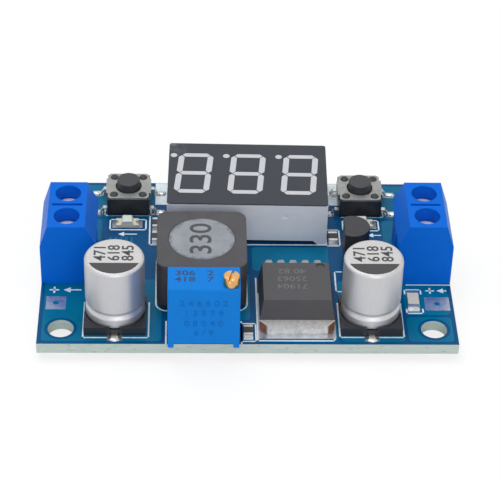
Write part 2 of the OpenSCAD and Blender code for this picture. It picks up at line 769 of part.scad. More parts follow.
function leaned(p) = [p[0] + p[1] * tan(digit_lean), p[1]];

module digits() {
    for (i = [-1:1]) translate([i * digit_pitch + digit_shift, 0]) digit();
}

// The moulded reflector housing on four feet, with a pocket for each segment
module display_housing() {
    top = disp_h - disp_film_t;
    half = disp_w / 2;
    color([0.70, 0.73, 0.78]) at_display() difference() {
        rotate([90, 0, 0]) linear_extrude(disp_d, center = true) polygon([[-half, 0], [-half + disp_foot_w - 0.5, 0],
            [-half + disp_foot_w + 0.2, disp_foot_h], [half - disp_foot_w - 0.2, disp_foot_h],
            [half - disp_foot_w + 0.5, 0], [half, 0], [half, top], [-half, top]]);
        translate([0, 0, -cut]) box([disp_w + cut, disp_d - 2 * disp_foot_w, disp_foot_h + cut]);
        translate([0, 0, -cut]) box([disp_w - 2 * disp_wall - 2, disp_d - 2 * disp_wall, disp_foot_h + disp_cavity_h + cut]);
        translate([0, 0, top - disp_segment_depth]) linear_extrude(cut) digits();
        translate([gate_x, gate_depth - disp_d / 2, gate_z]) rotate([90, 0, 0]) cylinder(d = gate_d, h = cut);
    }
}

// The dark printed film, open over each segment
module display_face() {
    color([0.26, 0.28, 0.31]) at_display() translate([0, 0, disp_h - disp_film_t]) linear_extrude(disp_film_t)
        difference() {
            chamfered_square(disp_w, disp_d, 0.25);
            digits();
        }
}

module display_segments() {
    color([0.80, 0.81, 0.84]) at_display() translate([0, 0, disp_h - disp_film_t - disp_segment_depth])
        linear_extrude(disp_film_t + disp_segment_depth) digits();
}

module display_pins() {
    high = disp_foot_h + disp_cavity_h;
    color([0.82, 0.82, 0.80]) at_display() for (p = display_pin_places())
        translate([p[0], p[1], -board_t - tail_l]) cylinder(d = disp_pin_d, h = board_t + tail_l + high);
}

// ---------- Push buttons ----------

// The moulded base, with the well for the dome and four posts that rivet the cover down
module switch_base() {
    color([0.10, 0.11, 0.12]) {
        difference() {
            translate([0, 0, smd_gap]) box([switch_w, switch_w, cover_z - smd_gap]);
            translate([0, 0, dome_z]) cylinder(d = flange_d + 2 * slide_gap, h = cover_z);
        }
        for (x = [-1, 1], y = [-1, 1]) translate([x * rivet_at, y * rivet_at, 0]) rotate_extrude()
            polygon(concat([[0, cover_z - 0.1], [rivet_d / 2, cover_z - 0.1]],
                arc([rivet_d / 2 - 0.15, switch_h], 0.15, 0, 90, 4), [[0, switch_h + 0.15]]));
    }
}

// The steel cover, with a hole for the button and four for the rivets
module switch_cover() {
    tab_w = 3.4;
    tab_h = 1.2;
    tab_t = 0.18;
    color([0.72, 0.71, 0.69]) {
        difference() {
            translate([0, 0, cover_z]) linear_extrude(cover_t) chamfered_square(cover_w, cover_w, 0.35);
            translate([0, 0, cover_z - cut]) cylinder(d = cover_hole_d, h = cover_t + 2 * cut);
            for (x = [-1, 1], y = [-1, 1]) translate([x * rivet_at, y * rivet_at, cover_z - cut])
                cylinder(d = rivet_d + 2 * seat_gap, h = cover_t + 2 * cut);
        }
        for (s = [0, 180]) rotate(s) strip([[cover_w / 2 - 0.5, switch_h - tab_t / 2],
            [switch_w / 2 + seat_gap + tab_t / 2, switch_h - tab_t / 2],
            [switch_w / 2 + seat_gap + tab_t / 2, switch_h - tab_h]], tab_t, tab_w);
    }
}

// The plunger: a stem, a flange that the cover holds in, and a nub on the dome
module switch_button() {
    r = button_d / 2;
    nub = 0.7;
    color([0.27, 0.27, 0.28]) rotate_extrude() polygon([[0, dome_z + dome_h + seat_gap],
        [nub, dome_z + dome_h + seat_gap], [nub, flange_z], [flange_d / 2, flange_z],
        [flange_d / 2, flange_z + flange_t], [r, flange_z + flange_t], [r, button_top - 0.12],
        [r - 0.12, button_top], [0, button_top]]);
}

// The snap dome under the plunger
module switch_dome() {
    half = dome_d / 2;
    outer = (half * half + dome_h * dome_h) / (2 * dome_h);
    span = asin(half / outer);
    color([0.75, 0.75, 0.74]) translate([0, 0, dome_z]) rotate_extrude() polygon(concat(
        arc([0, dome_h - outer], outer, 90 - span, 90, 8),
        [for (p = arc([0, dome_h - outer], outer - dome_t, 90, 90 - span, 8)) [max(p[0], 0), max(p[1], 0)]]));
}

module switch_legs() {
    z = pad_t + leg_t / 2;
    color([0.82, 0.80, 0.76]) for (s = [0, 180], y = [-1, 1]) rotate(s) translate([0, y * leg_pitch / 2, 0])
        strip([[switch_w / 2 + seat_gap, z + leg_rise], [switch_w / 2 + leg_start, z + leg_rise],
            [leg_reach - leg_foot_l, z], [leg_reach, z]], leg_t, leg_w);
}

// ---------- Power regulator ----------

module regulator_body() {
    color([0.27, 0.27, 0.28]) on_board(reg) difference() {
        moulded_body(reg_w, reg_d, smd_gap, reg_line_z, reg_h, reg_draft);
        translate([0, -reg_d / 2, -cut]) box([reg_w - 1.2, 2 * tab_seat, cut + pad_t + tab_t + seat_gap]);
        for (i = [-2:2]) translate([i * reg_pitch, reg_d / 2 + 1, reg_lead_z - reg_lead_t / 2 - seat_gap])
            box([reg_lead_w + 2 * seat_gap, 2 * (reg_lead_seat + 1), reg_lead_t + 2 * seat_gap]);
        translate([reg_w / 2 - dimple_inset[0], reg_d / 2 - dimple_inset[1], reg_h - dimple_depth])
            cylinder(d = dimple_d, h = cut);
    }
}

// The copper heat tab: a slug under the body, and in front a lip with cut corners
module regulator_tab() {
    half = reg_w / 2;
    lip = half - tab_corner;
    color([0.80, 0.78, 0.76]) on_board(reg) translate([0, -reg_d / 2, pad_t]) linear_extrude(tab_t) polygon([
        [-lip, -tab_l], [lip, -tab_l], [half, -0.2], [half, 0], [half - 0.7, 0], [half - 0.7, tab_seat - seat_gap],
        [-half + 0.7, tab_seat - seat_gap], [-half + 0.7, 0], [-half, 0], [-half, -0.2]]);
}

module regulator_leads() {
    z = pad_t + reg_lead_t / 2;
    back = reg_d / 2;
    color([0.82, 0.82, 0.80]) on_board(reg) for (i = [-2:2]) translate([i * reg_pitch, 0, 0]) rotate(90)
        strip([[back - reg_lead_seat, reg_lead_z], [back + 1.2, reg_lead_z], [back + 2.4, z],
            [back + reg_lead_reach, z]], reg_lead_t, reg_lead_w);
}

// ---------- Small parts ----------

module small_regulator_body() {
    color([0.16, 0.16, 0.17]) on_board(small_reg) translate([0, 0, small_reg_gap])
        linear_extrude(small_reg_body_h) difference() {
            circle(d = small_reg_d);
            translate([-small_reg_flat - small_reg_d, -small_reg_d / 2]) square(small_reg_d);
        }
}

module small_regulator_legs() {
    color([0.82, 0.82, 0.80]) on_board(small_reg) for (i = [-1:1])
        translate([0, i * small_leg_pitch, -board_t - tail_l])
            cylinder(d = small_leg_w, h = board_t + tail_l + small_reg_gap);
}

module led_bases() {
    color([0.85, 0.84, 0.76]) for (s = [-1, 1]) on_board([s * led_x, led_y]) translate([0, 0, pad_t])
        difference() {
            box([led_size[0], led_size[1], led_base_t]);
            for (x = [-1, 1]) translate([x * led_size[0] / 2, 0, -cut]) cylinder(d = 0.8, h = led_base_t + 2 * cut);
        }
}

module led_lenses() {
    color([0.88, 0.92, 0.86]) for (s = [-1, 1]) on_board([s * led_x, led_y])
        translate([0, 0, pad_t + led_base_t]) intersection() {
            rotate([90, 0, 0]) linear_extrude(led_size[1] - 0.1, center = true) polygon([[-led_lens_w / 2, 0],
                [led_lens_w / 2, 0], [led_lens_w / 2 - 0.25, led_lens_h], [-led_lens_w / 2 + 0.25, led_lens_h]]);
            box([led_lens_w, led_size[1] - 0.1, led_lens_h]);
        }
}

// The ceramic blocks of the chip parts
module chip_bodies() {
    color([0.16, 0.16, 0.17]) for (c = chips) on_board(c[0]) translate([0, 0, pad_t + chip_end_t])
        box([c[1][1] - 2 * chip_end_t, c[1][0] - 2 * chip_end_t, c[1][2] - 2 * chip_end_t]);
}

// The tinned caps on both ends of each chip part
module chip_ends() {
    color([0.82, 0.82, 0.80]) for (c = chips, s = [0, 180]) on_board(c[0], s) translate([0, 0, pad_t])
        difference() {
            translate([0, c[1][0] / 2 - chip_end_l / 2, 0]) box([c[1][1], chip_end_l, c[1][2]]);
            translate([0, 0, chip_end_t])
                box([c[1][1] - 2 * chip_end_t, c[1][0] - 2 * chip_end_t, c[1][2] - 2 * chip_end_t]);
        }
}

module diode_body() {
    color([0.12, 0.12, 0.13]) on_board(diode)
        moulded_body(diode_w, diode_d, smd_gap, diode_line_z, diode_h, diode_draft);
}

// Two leads that fold down the diode's ends and in under its body
module diode_leads() {
    x = diode_w / 2 + diode_reach - diode_lead_t / 2;
    color([0.82, 0.82, 0.80]) on_board(diode) for (s = [0, 180]) rotate(s)
        strip([[diode_w / 2 + seat_gap, diode_line_z], [x, diode_line_z], [x, pad_t + diode_lead_t / 2],
            [diode_w / 2 + 0.05, pad_t + diode_lead_t / 2]], diode_lead_t, diode_lead_w);
}

// The voltmeter's controller, upside down on the board's underside
module controller_body() {
    color([0.12, 0.12, 0.13]) translate([controller[0], controller[1], 0]) rotate([180, 0, 0])
        moulded_body(chip_w, chip_d, smd_gap, smd_gap + chip_t / 2, smd_gap + chip_t, 0.1);
}

module controller_leads() {
    z = pad_t + chip_lead_t / 2;
    color([0.82, 0.82, 0.80]) translate([controller[0], controller[1], 0]) rotate([180, 0, 0])
        for (s = [0, 180], i = [0:chip_lead_count - 1]) rotate(s)
            translate([(i - (chip_lead_count - 1) / 2) * chip_lead_pitch, 0, 0]) rotate(90)
                strip([[chip_d / 2 + seat_gap, smd_gap + chip_t / 2], [chip_d / 2 + 0.25, smd_gap + chip_t / 2],
                    [chip_d / 2 + 0.45, z], [chip_d / 2 + chip_lead_reach, z]], chip_lead_t, chip_lead_w);
}

// ---------- Nodes that share a shape ----------

module output_terminal_housing() at_output_terminal() terminal_housing();
module input_terminal_housing() at_input_terminal() terminal_housing();
module output_terminal_contacts() at_output_terminal() terminal_contacts();
module input_terminal_contacts() at_input_terminal() terminal_contacts();
module output_plus_cage() at_output_terminal() at_pole(1) cage();
module output_minus_cage() at_output_terminal() at_pole(-1) cage();
module input_plus_cage() at_input_terminal() at_pole(-1) cage();
module input_minus_cage() at_input_terminal() at_pole(1) cage();
module output_plus_screw() at_output_terminal() at_pole(1) clamp_screw();
module output_minus_screw() at_output_terminal() at_pole(-1) clamp_screw();
module input_plus_screw() at_input_terminal() at_pole(-1) clamp_screw();
module input_minus_screw() at_input_terminal() at_pole(1) clamp_screw();
module output_capacitor_base() on_board(output_cap) capacitor_base();
module input_capacitor_base() on_board(input_cap) capacitor_base();
module output_capacitor_can() on_board(output_cap) capacitor_can();
module input_capacitor_can() on_board(input_cap) capacitor_can();
module output_capacitor_leads() on_board(output_cap) capacitor_leads();
module input_capacitor_leads() on_board(input_cap) capacitor_leads();
module left_switch_base() on_board(left_switch) switch_base();
module right_switch_base() on_board(right_switch) switch_base();
module left_switch_cover() on_board(left_switch) switch_cover();
module right_switch_cover() on_board(right_switch) switch_cover();
module left_switch_button() on_board(left_switch) switch_button();
module right_switch_button() on_board(right_switch) switch_button();
module left_switch_dome() on_board(left_switch) switch_dome();
module right_switch_dome() on_board(right_switch) switch_dome();
module left_switch_legs() on_board(left_switch) switch_legs();
module right_switch_legs() on_board(right_switch) switch_legs();

circuit_board();
solder_pads();
solder_joints();
output_terminal_housing();
input_terminal_housing();
output_terminal_contacts();
input_terminal_contacts();
output_plus_cage();
output_minus_cage();
input_plus_cage();
input_minus_cage();
output_plus_screw();
output_minus_screw();
input_plus_screw();
input_minus_screw();
output_capacitor_base();
input_capacitor_base();
output_capacitor_can();
input_capacitor_can();
output_capacitor_leads();
input_capacitor_leads();
inductor_shield();
inductor_drum();
inductor_winding();
inductor_base();
inductor_terminals();
trimmer_housing();
trimmer_screw();
trimmer_pins();
display_housing();
display_face();
display_segments();
display_pins();
regulator_body();
regulator_tab();
regulator_leads();
left_switch_base();
right_switch_base();
left_switch_cover();
right_switch_cover();
left_switch_button();
right_switch_button();
left_switch_dome();
right_switch_dome();
left_switch_legs();
right_switch_legs();
small_regulator_body();
small_regulator_legs();
led_bases();
led_lenses();
chip_bodies();
chip_ends();
diode_body();
diode_leads();
controller_body();
controller_leads();
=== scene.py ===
"""Finishes, prints, solder and stage of a step-down voltage converter module with a three-digit display.

Lengths are in metres and in the frame of the packed model: +X runs to the input end, +Y to the back
edge and +Z up. Sizes that are easier to read in millimetres are written as a number times MM.
"""

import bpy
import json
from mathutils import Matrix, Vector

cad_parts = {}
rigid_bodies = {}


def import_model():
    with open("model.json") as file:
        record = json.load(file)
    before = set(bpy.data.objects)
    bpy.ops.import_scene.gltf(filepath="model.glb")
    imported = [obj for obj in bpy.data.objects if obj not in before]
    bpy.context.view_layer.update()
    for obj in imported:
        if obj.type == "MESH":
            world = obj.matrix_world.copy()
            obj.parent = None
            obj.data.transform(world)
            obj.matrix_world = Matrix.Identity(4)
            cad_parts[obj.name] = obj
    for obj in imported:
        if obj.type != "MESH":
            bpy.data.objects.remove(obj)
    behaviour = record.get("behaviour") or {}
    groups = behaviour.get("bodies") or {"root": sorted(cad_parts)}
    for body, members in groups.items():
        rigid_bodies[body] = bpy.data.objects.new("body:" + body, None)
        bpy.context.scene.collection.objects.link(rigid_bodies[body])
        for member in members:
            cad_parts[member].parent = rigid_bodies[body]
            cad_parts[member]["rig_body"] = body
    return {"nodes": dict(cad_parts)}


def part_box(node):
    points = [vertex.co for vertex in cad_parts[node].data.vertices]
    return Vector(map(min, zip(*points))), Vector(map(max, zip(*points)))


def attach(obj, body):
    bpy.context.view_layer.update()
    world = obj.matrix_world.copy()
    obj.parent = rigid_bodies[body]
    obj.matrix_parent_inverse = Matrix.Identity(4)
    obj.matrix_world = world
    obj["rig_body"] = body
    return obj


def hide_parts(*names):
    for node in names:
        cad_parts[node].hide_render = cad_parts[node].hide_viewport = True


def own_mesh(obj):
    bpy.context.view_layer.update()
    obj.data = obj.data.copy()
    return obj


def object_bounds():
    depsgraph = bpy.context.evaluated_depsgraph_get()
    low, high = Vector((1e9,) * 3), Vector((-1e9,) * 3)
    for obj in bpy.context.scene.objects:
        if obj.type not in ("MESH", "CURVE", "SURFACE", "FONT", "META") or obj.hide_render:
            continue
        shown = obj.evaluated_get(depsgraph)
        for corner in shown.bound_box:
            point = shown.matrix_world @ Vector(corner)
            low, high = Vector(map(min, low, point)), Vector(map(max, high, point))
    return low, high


bl_info = {
    "name": "Voltage Converter Module",
    "version": (1, 0, 0),
    "blender": (4, 5, 0),
    "location": "3D View > Sidebar > Converter",
    "description": "Finishes, prints, solder and stage of a voltage converter module",
    "category": "Object",
}

import json
import math
import random

import bpy
from bpy.props import FloatProperty, FloatVectorProperty, IntProperty, StringProperty
from mathutils import Matrix, Vector

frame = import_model()
NODES = frame["nodes"]
CAD_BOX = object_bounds()
MM = 0.001

BOARD_LOW, BOARD_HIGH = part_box("circuit_board")
BOARD_TOP = BOARD_HIGH.z
INK_LIFT = 0.03 * MM      # height of the legend's ink over the solder mask
PRINT_T = 0.012 * MM      # thickness of a print on a part


# ---- colours and shaders

def shade(red, green, blue):
    """Linear light of a colour that is given in the 0 to 255 steps of a screen."""
    steps = (red / 255, green / 255, blue / 255)
    return tuple(v / 12.92 if v <= 0.04045 else ((v + 0.055) / 1.055) ** 2.4 for v in steps)


def darker(colour, share):
    return tuple(v * share for v in colour)


class Finish:
    """One material: its Principled shader and the pattern nodes that feed it."""

    def __init__(self, name, colour, roughness, metallic=0.0, **sockets):
        self.material = bpy.data.materials.new(name)
        self.material.use_nodes = True
        self.tree = self.material.node_tree
        self.shader = self.tree.nodes["Principled BSDF"]
        self.colour = colour
        self.shader.inputs["Base Color"].default_value = (*colour, 1)
        self.shader.inputs["Roughness"].default_value = roughness
        self.shader.inputs["Metallic"].default_value = metallic
        for name, value in sockets.items():
            self.shader.inputs[name.replace("_", " ")].default_value = value
        place = self.tree.nodes.new("ShaderNodeTexCoord")
        self.place = place.outputs["Object"]
        self.normal = place.outputs["Normal"]

    def feed(self, socket, value):
        if isinstance(value, bpy.types.NodeSocket):
            self.tree.links.new(value, socket)
        elif socket.type == "RGBA":
            socket.default_value = (*value, 1)
        else:
            socket.default_value = value

    def math(self, operation, *values):
        node = self.tree.nodes.new("ShaderNodeMath")
        node.operation = operation
        for socket, value in zip(node.inputs, values):
            self.feed(socket, value)
        return node.outputs[0]

    def axes(self, vector=None):
        """The X, Y and Z of a vector, or of the place on the piece."""
        node = self.tree.nodes.new("ShaderNodeSeparateXYZ")
        self.feed(node.inputs[0], vector or self.place)
        return node.outputs[0], node.outputs[1], node.outputs[2]

    def stretched(self, x, y, z, centre=(0, 0, 0), turn=0):
        """The place on the piece, taken from a centre, turned about Z and stretched."""
        node = self.tree.nodes.new("ShaderNodeMapping")
        node.vector_type = "TEXTURE"
        self.feed(node.inputs["Vector"], self.place)
        node.inputs["Location"].default_value = centre
        node.inputs["Rotation"].default_value = (0, 0, turn)
        node.inputs["Scale"].default_value = (x, y, z)
        return node.outputs[0]

    def noise(self, grain, detail=2.0, rough=0.5, at=None):
        """Cloudy pattern from 0 to 1 with patches of about the size of grain."""
        node = self.tree.nodes.new("ShaderNodeTexNoise")
        self.feed(node.inputs["Vector"], at or self.place)
        node.inputs["Scale"].default_value = 1 / grain
        node.inputs["Detail"].default_value = detail
        node.inputs["Roughness"].default_value = rough
        return node.outputs["Fac"]

    def cells(self, grain, at=None):
        """Distance to the nearest of many scattered points."""
        node = self.tree.nodes.new("ShaderNodeTexVoronoi")
        self.feed(node.inputs["Vector"], at or self.place)
        node.inputs["Scale"].default_value = 1 / grain
        return node.outputs["Distance"]

    def spread(self, value, low, high, to_low=0.0, to_high=1.0):
        """Value from low to high, mapped on to_low to to_high and clamped."""
        node = self.tree.nodes.new("ShaderNodeMapRange")
        for socket, number in zip(node.inputs, (value, low, high, to_low, to_high)):
            self.feed(socket, number)
        return node.outputs[0]

    def mix(self, share, one, two):
        """Colour one where share is 0, colour two where it is 1."""
        node = self.tree.nodes.new("ShaderNodeMix")
        node.data_type = "RGBA"
        self.feed(node.inputs[0], share)
        self.feed(node.inputs[6], one)
        self.feed(node.inputs[7], two)
        return node.outputs[2]

    def relief(self, height, depth, below=None):
        """A bump of the given depth in metres, on top of an earlier one."""
        node = self.tree.nodes.new("ShaderNodeBump")
        self.feed(node.inputs["Height"], height)
        node.inputs["Distance"].default_value = depth
        if below is not None:
            self.feed(node.inputs["Normal"], below)
        return node.outputs[0]

    def paint(self, **sockets):
        """Feeds pattern outputs to the shader's sockets."""
        for name, value in sockets.items():
            self.feed(self.shader.inputs[name.replace("_", " ")], value)
        return self.material


def moulded(name, colour, roughness, grain=0.12 * MM, depth=0.004 * MM, mottle=0.12, **sockets):
    """Moulded plastic: a fine spark-eroded grain, slight mottling and uneven gloss."""
    finish = Finish(name, colour, roughness, **sockets)
    cloud = finish.noise(1.6 * MM, 3)
    fine = finish.noise(grain, 2, 0.6)
    return finish.paint(
        Base_Color=finish.mix(cloud, darker(colour, 1 - mottle), darker(colour, 1 + mottle)),
        Roughness=finish.spread(fine, 0.3, 0.7, roughness - 0.05, roughness + 0.07),
        Normal=finish.relief(fine, depth))


def plated(name, colour, roughness, grain=0.25 * MM, depth=0.006 * MM, tarnish=0.25, metallic=1.0):
    """Plated or tinned metal: soft waves in the plating and a duller film in patches."""
    finish = Finish(name, colour, roughness, metallic)
    film = finish.noise(0.9 * MM, 4, 0.6)
    waves = finish.noise(grain, 2)
    return finish.paint(
        Base_Color=finish.mix(finish.spread(film, 0.35, 0.75), colour, darker(colour, 1 - tarnish)),
        Roughness=finish.spread(film, 0.3, 0.7, roughness - 0.08, roughness + 0.12),
        Normal=finish.relief(waves, depth))


# ---- modelling helpers

def only(*pieces):
    """Deselects everything, then selects these pieces and makes the first the active one."""
    bpy.ops.object.select_all(action="DESELECT")
    for piece in pieces:
        piece.select_set(True)
    if pieces:
        bpy.context.view_layer.objects.active = pieces[0]


def settle(piece):
    """Puts a piece's place, turn and scale into its mesh."""
    only(piece)
    bpy.ops.object.transform_apply(location=True, rotation=True, scale=True)
    return piece


def new_block(low, high):
    """A box between two corners."""
    low, high = Vector(low), Vector(high)
    only()
    bpy.ops.mesh.primitive_cube_add(size=1, location=(low + high) / 2)
    piece = bpy.context.object
    bpy.ops.transform.resize(value=high - low)
    return settle(piece)


def new_disc(centre, radius, thickness, sides=32):
    """A round plate that stands on its centre point."""
    only()
    bpy.ops.mesh.primitive_cylinder_add(
        vertices=sides, radius=radius, depth=thickness,
        location=Vector(centre) + Vector((0, 0, thickness / 2)))
    return settle(bpy.context.object)


def joined(name, pieces):
    """One piece made of several."""
    only(*pieces)
    if len(pieces) > 1:
        bpy.ops.object.join()
    piece = bpy.context.object
    piece.name = name
    return piece


def edit_edges(piece, wanted):
    """Enters edit mode with the edges selected for which wanted(start, end) is true."""
    only(piece)
    bpy.ops.object.mode_set(mode="EDIT")
    bpy.ops.mesh.select_mode(type="EDGE")
    bpy.ops.mesh.select_all(action="DESELECT")
    bpy.ops.object.mode_set(mode="OBJECT")
    points = piece.data.vertices
    for edge in piece.data.edges:
        edge.select = wanted(points[edge.vertices[0]].co, points[edge.vertices[1]].co)
    bpy.ops.object.mode_set(mode="EDIT")


def upright(start, end):
    return math.hypot(start.x - end.x, start.y - end.y) < 1e-7


def new_plate(low, high, radius, segments=4):
    """A box whose upright edges are rounded."""
    piece = new_block(low, high)
    edit_edges(piece, upright)
    bpy.ops.mesh.bevel(offset=radius, offset_type="OFFSET", segments=segments, affect="EDGES")
    bpy.ops.object.mode_set(mode="OBJECT")
    return piece


def smooth(piece, angle=30):
    only(piece)
    bpy.ops.object.shade_smooth_by_angle(angle=math.radians(angle))
    return piece


def dress(piece, material, body):
    """Gives a new piece its only material and its body."""
    piece.data.materials.clear()
    piece.data.materials.append(material)
    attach(piece, body)
    return piece


def recoat(material, *names):
    """Gives packed nodes a material in place of their plain one."""
    for name in names:
        mesh = NODES[name].data
        mesh.materials.clear()
        mesh.materials.append(material)


def rounded_node(node, width, material, segments=2, least_angle=30):
    """A copy of a packed node with its sharp edges rounded, which stands for that node."""
    mesh = NODES[node].data.copy()
    piece = bpy.data.objects.new(node + "_finished", mesh)
    bpy.context.scene.collection.objects.link(piece)
    only(piece)
    bpy.ops.mesh.customdata_custom_splitnormals_clear()
    bpy.ops.object.mode_set(mode="EDIT")
    bpy.ops.mesh.select_all(action="SELECT")
    bpy.ops.mesh.remove_doubles(threshold=0.0005 * MM)
    bpy.ops.mesh.dissolve_limited(angle_limit=math.radians(0.5))
    bpy.ops.object.mode_set(mode="OBJECT")
    bevel = piece.modifiers.new("rounding", "BEVEL")
    bevel.width = width
    bevel.segments = segments
    bevel.limit_method = "ANGLE"
    bevel.angle_limit = math.radians(least_angle)
    bevel.use_clamp_overlap = True
    bevel.miter_outer = "MITER_ARC"
    bpy.ops.object.modifier_apply(modifier=bevel.name)
    smooth(piece, 40)
    faces = piece.modifiers.new("flat_faces", "WEIGHTED_NORMAL")
    faces.keep_sharp = True
    bpy.ops.object.modifier_apply(modifier=faces.name)
    dress(piece, material, NODES[node]["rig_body"])
    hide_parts(node)
    return piece


def new_text(words, height, place, turn=0.0, stretch=1.0, thickness=PRINT_T, stand=False, weight=0.0):
    """Plain figures, centred on a place. Stand sets them upright, to face the front.

    Weight is the length by which each stroke grows on both of its sides.
    """
    only()
    bpy.ops.object.text_add(location=place)
    piece = bpy.context.object
    piece.data.body = words
    piece.data.align_x = "CENTER"
    piece.data.align_y = "CENTER"
    piece.data.size = height / 0.72
    piece.data.extrude = thickness / 2
    piece.data.offset = weight
    piece.data.resolution_u = 4
    bpy.ops.object.convert(target="MESH")
    piece = bpy.context.object
    piece.scale = (stretch, 1, 1)
    piece.rotation_euler = (math.pi / 2 if stand else 0, 0, math.radians(turn))
    return settle(piece)


def solder_lump(centre, size, seed):
    """A frozen drop of solder, flat below and a little uneven."""
    only()
    bpy.ops.mesh.primitive_uv_sphere_add(segments=24, ring_count=14, radius=0.5, location=(0, 0, 0))
    piece = bpy.context.object
    bpy.ops.object.mode_set(mode="EDIT")
    bpy.ops.mesh.bisect(plane_co=(0, 0, 0), plane_no=(0, 0, 1), use_fill=True, clear_inner=True)
    bpy.ops.object.mode_set(mode="OBJECT")
    random.seed(seed)
    phase = [random.uniform(0, 2 * math.pi) for _ in range(3)]
    for point in piece.data.vertices:
        angle = math.atan2(point.co.y, point.co.x)
        swell = 1 + 0.07 * math.sin(2 * angle + phase[0]) + 0.05 * math.sin(3 * angle + phase[1])
        point.co.x *= swell
        point.co.y *= swell
        point.co.z *= 2 * (1 + 0.08 * math.sin(angle + phase[2]))
    piece.scale = size
    piece.location = centre
    return smooth(settle(piece), 60)


# ---- sizes and colours to change

class StageSettings(bpy.types.PropertyGroup):
    """Camera and light."""
    camera_place: FloatVectorProperty(
        name="Camera Place", description="Where the camera stands",
        default=(-0.008361, -0.219625, 0.178782), subtype="TRANSLATION", unit="LENGTH")
    camera_aim: FloatVectorProperty(
        name="Camera Aim", description="Point at the centre of the view",
        default=(0.000488, -0.002041, 0.005010), subtype="TRANSLATION", unit="LENGTH")
    camera_roll: FloatProperty(
        name="Camera Roll", description="Turn of the camera about its own line of sight",
        default=math.radians(1.685), subtype="ANGLE")
    lens: FloatProperty(
        name="Focal Length", description="Focal length on a 36 mm wide sensor",
        default=145.4, min=20, max=300, subtype="DISTANCE_CAMERA")
    key_power: FloatProperty(
        name="Key Light", description="Power of the large light above", default=2.2, min=0, unit="POWER")
    fill_power: FloatProperty(
        name="Fill Light", description="Power of the light in front", default=1.6, min=0, unit="POWER")
    sky_strength: FloatProperty(
        name="Surrounding Light", description="Strength of the even light around",
        default=0.5, min=0, max=2)
    floor_colour: FloatVectorProperty(
        name="Floor", description="Colour of the floor",
        default=(0.8, 0.8, 0.8), subtype="COLOR", min=0, max=1)


class FinishSettings(bpy.types.PropertyGroup):
    """Colours of the parts."""
    mask: FloatVectorProperty(
        name="Solder Mask", description="Colour of the board's lacquer over bare laminate",
        default=shade(0, 80, 130), subtype="COLOR", min=0, max=1)
    copper_mask: FloatVectorProperty(
        name="Mask Over Copper", description="Colour of the board's lacquer over copper",
        default=shade(0, 110, 150), subtype="COLOR", min=0, max=1)
    laminate: FloatVectorProperty(
        name="Laminate", description="Colour of the board's cut edge",
        default=shade(208, 222, 216), subtype="COLOR", min=0, max=1)
    ink: FloatVectorProperty(
        name="Legend Ink", description="Colour of the lines on the board",
        default=shade(238, 248, 252), subtype="COLOR", min=0, max=1)
    terminal: FloatVectorProperty(
        name="Terminal Blue", description="Colour of the screw terminals",
        default=shade(2, 108, 222), subtype="COLOR", min=0, max=1)
    trimmer: FloatVectorProperty(
        name="Trimmer Blue", description="Colour of the trimmer's housing",
        default=shade(0, 130, 226), subtype="COLOR", min=0, max=1)
    display: FloatVectorProperty(
        name="Display Housing", description="Colour of the display's housing",
        default=shade(236, 240, 250), subtype="COLOR", min=0, max=1)
    film: FloatVectorProperty(
        name="Display Film", description="Colour of the display's face",
        default=shade(46, 51, 60), subtype="COLOR", min=0, max=1)


class PrintSettings(bpy.types.PropertyGroup):
    """Lines and figures."""
    line_width: FloatProperty(
        name="Legend Line", description="Width of a line of the legend",
        default=0.21 * MM, min=0.08 * MM, max=0.4 * MM, unit="LENGTH")
    capacitor_rows: StringProperty(
        name="Capacitor Figures", description="Rows on the capacitors' tops", default="471,618,845")
    inductor_rows: StringProperty(
        name="Inductor Figures", description="Figures on the inductor's core", default="330")
    solder_seed: IntProperty(
        name="Solder Seed", description="Start of the random shapes of the solder", default=7, min=0)


# ---- stage

def stage_material(floor_colour):
    """Pale floor that is white to the camera and to reflections, and keeps a soft shadow."""
    shadow_share = 0.22
    glow = 0.80
    material = bpy.data.materials.new("floor")
    material.use_nodes = True
    tree = material.node_tree
    tree.nodes.clear()
    out = tree.nodes.new("ShaderNodeOutputMaterial")
    plain = tree.nodes.new("ShaderNodeBsdfDiffuse")
    plain.inputs["Color"].default_value = (*floor_colour, 1)
    seen = tree.nodes.new("ShaderNodeBsdfDiffuse")
    seen.inputs["Color"].default_value = (shadow_share, shadow_share, shadow_share, 1)
    light = tree.nodes.new("ShaderNodeEmission")
    light.inputs["Strength"].default_value = glow
    both = tree.nodes.new("ShaderNodeAddShader")
    tree.links.new(seen.outputs[0], both.inputs[0])
    tree.links.new(light.outputs[0], both.inputs[1])
    pick = tree.nodes.new("ShaderNodeMixShader")
    tree.links.new(seen_rays(tree), pick.inputs[0])
    tree.links.new(plain.outputs[0], pick.inputs[1])
    tree.links.new(both.outputs[0], pick.inputs[2])
    tree.links.new(pick.outputs[0], out.inputs[0])
    return material


def seen_rays(tree):
    """1 for camera rays and for rays that a mirror or glass sends on, otherwise 0."""
    path = tree.nodes.new("ShaderNodeLightPath")
    total = path.outputs["Is Camera Ray"]
    for name in ("Is Glossy Ray", "Is Transmission Ray"):
        node = tree.nodes.new("ShaderNodeMath")
        node.operation = "MAXIMUM"
        tree.links.new(total, node.inputs[0])
        tree.links.new(path.outputs[name], node.inputs[1])
        total = node.outputs[0]
    return total


def add_light(name, place, size, power):
    """A square soft light that points at the middle of the module."""
    only()
    bpy.ops.object.light_add(type="AREA", location=place)
    light = bpy.context.object
    light.name = name
    light.data.shape = "SQUARE"
    light.data.size = size
    light.data.energy = power
    light.rotation_euler = (-Vector(place)).to_track_quat("-Z", "Y").to_euler()
    return light


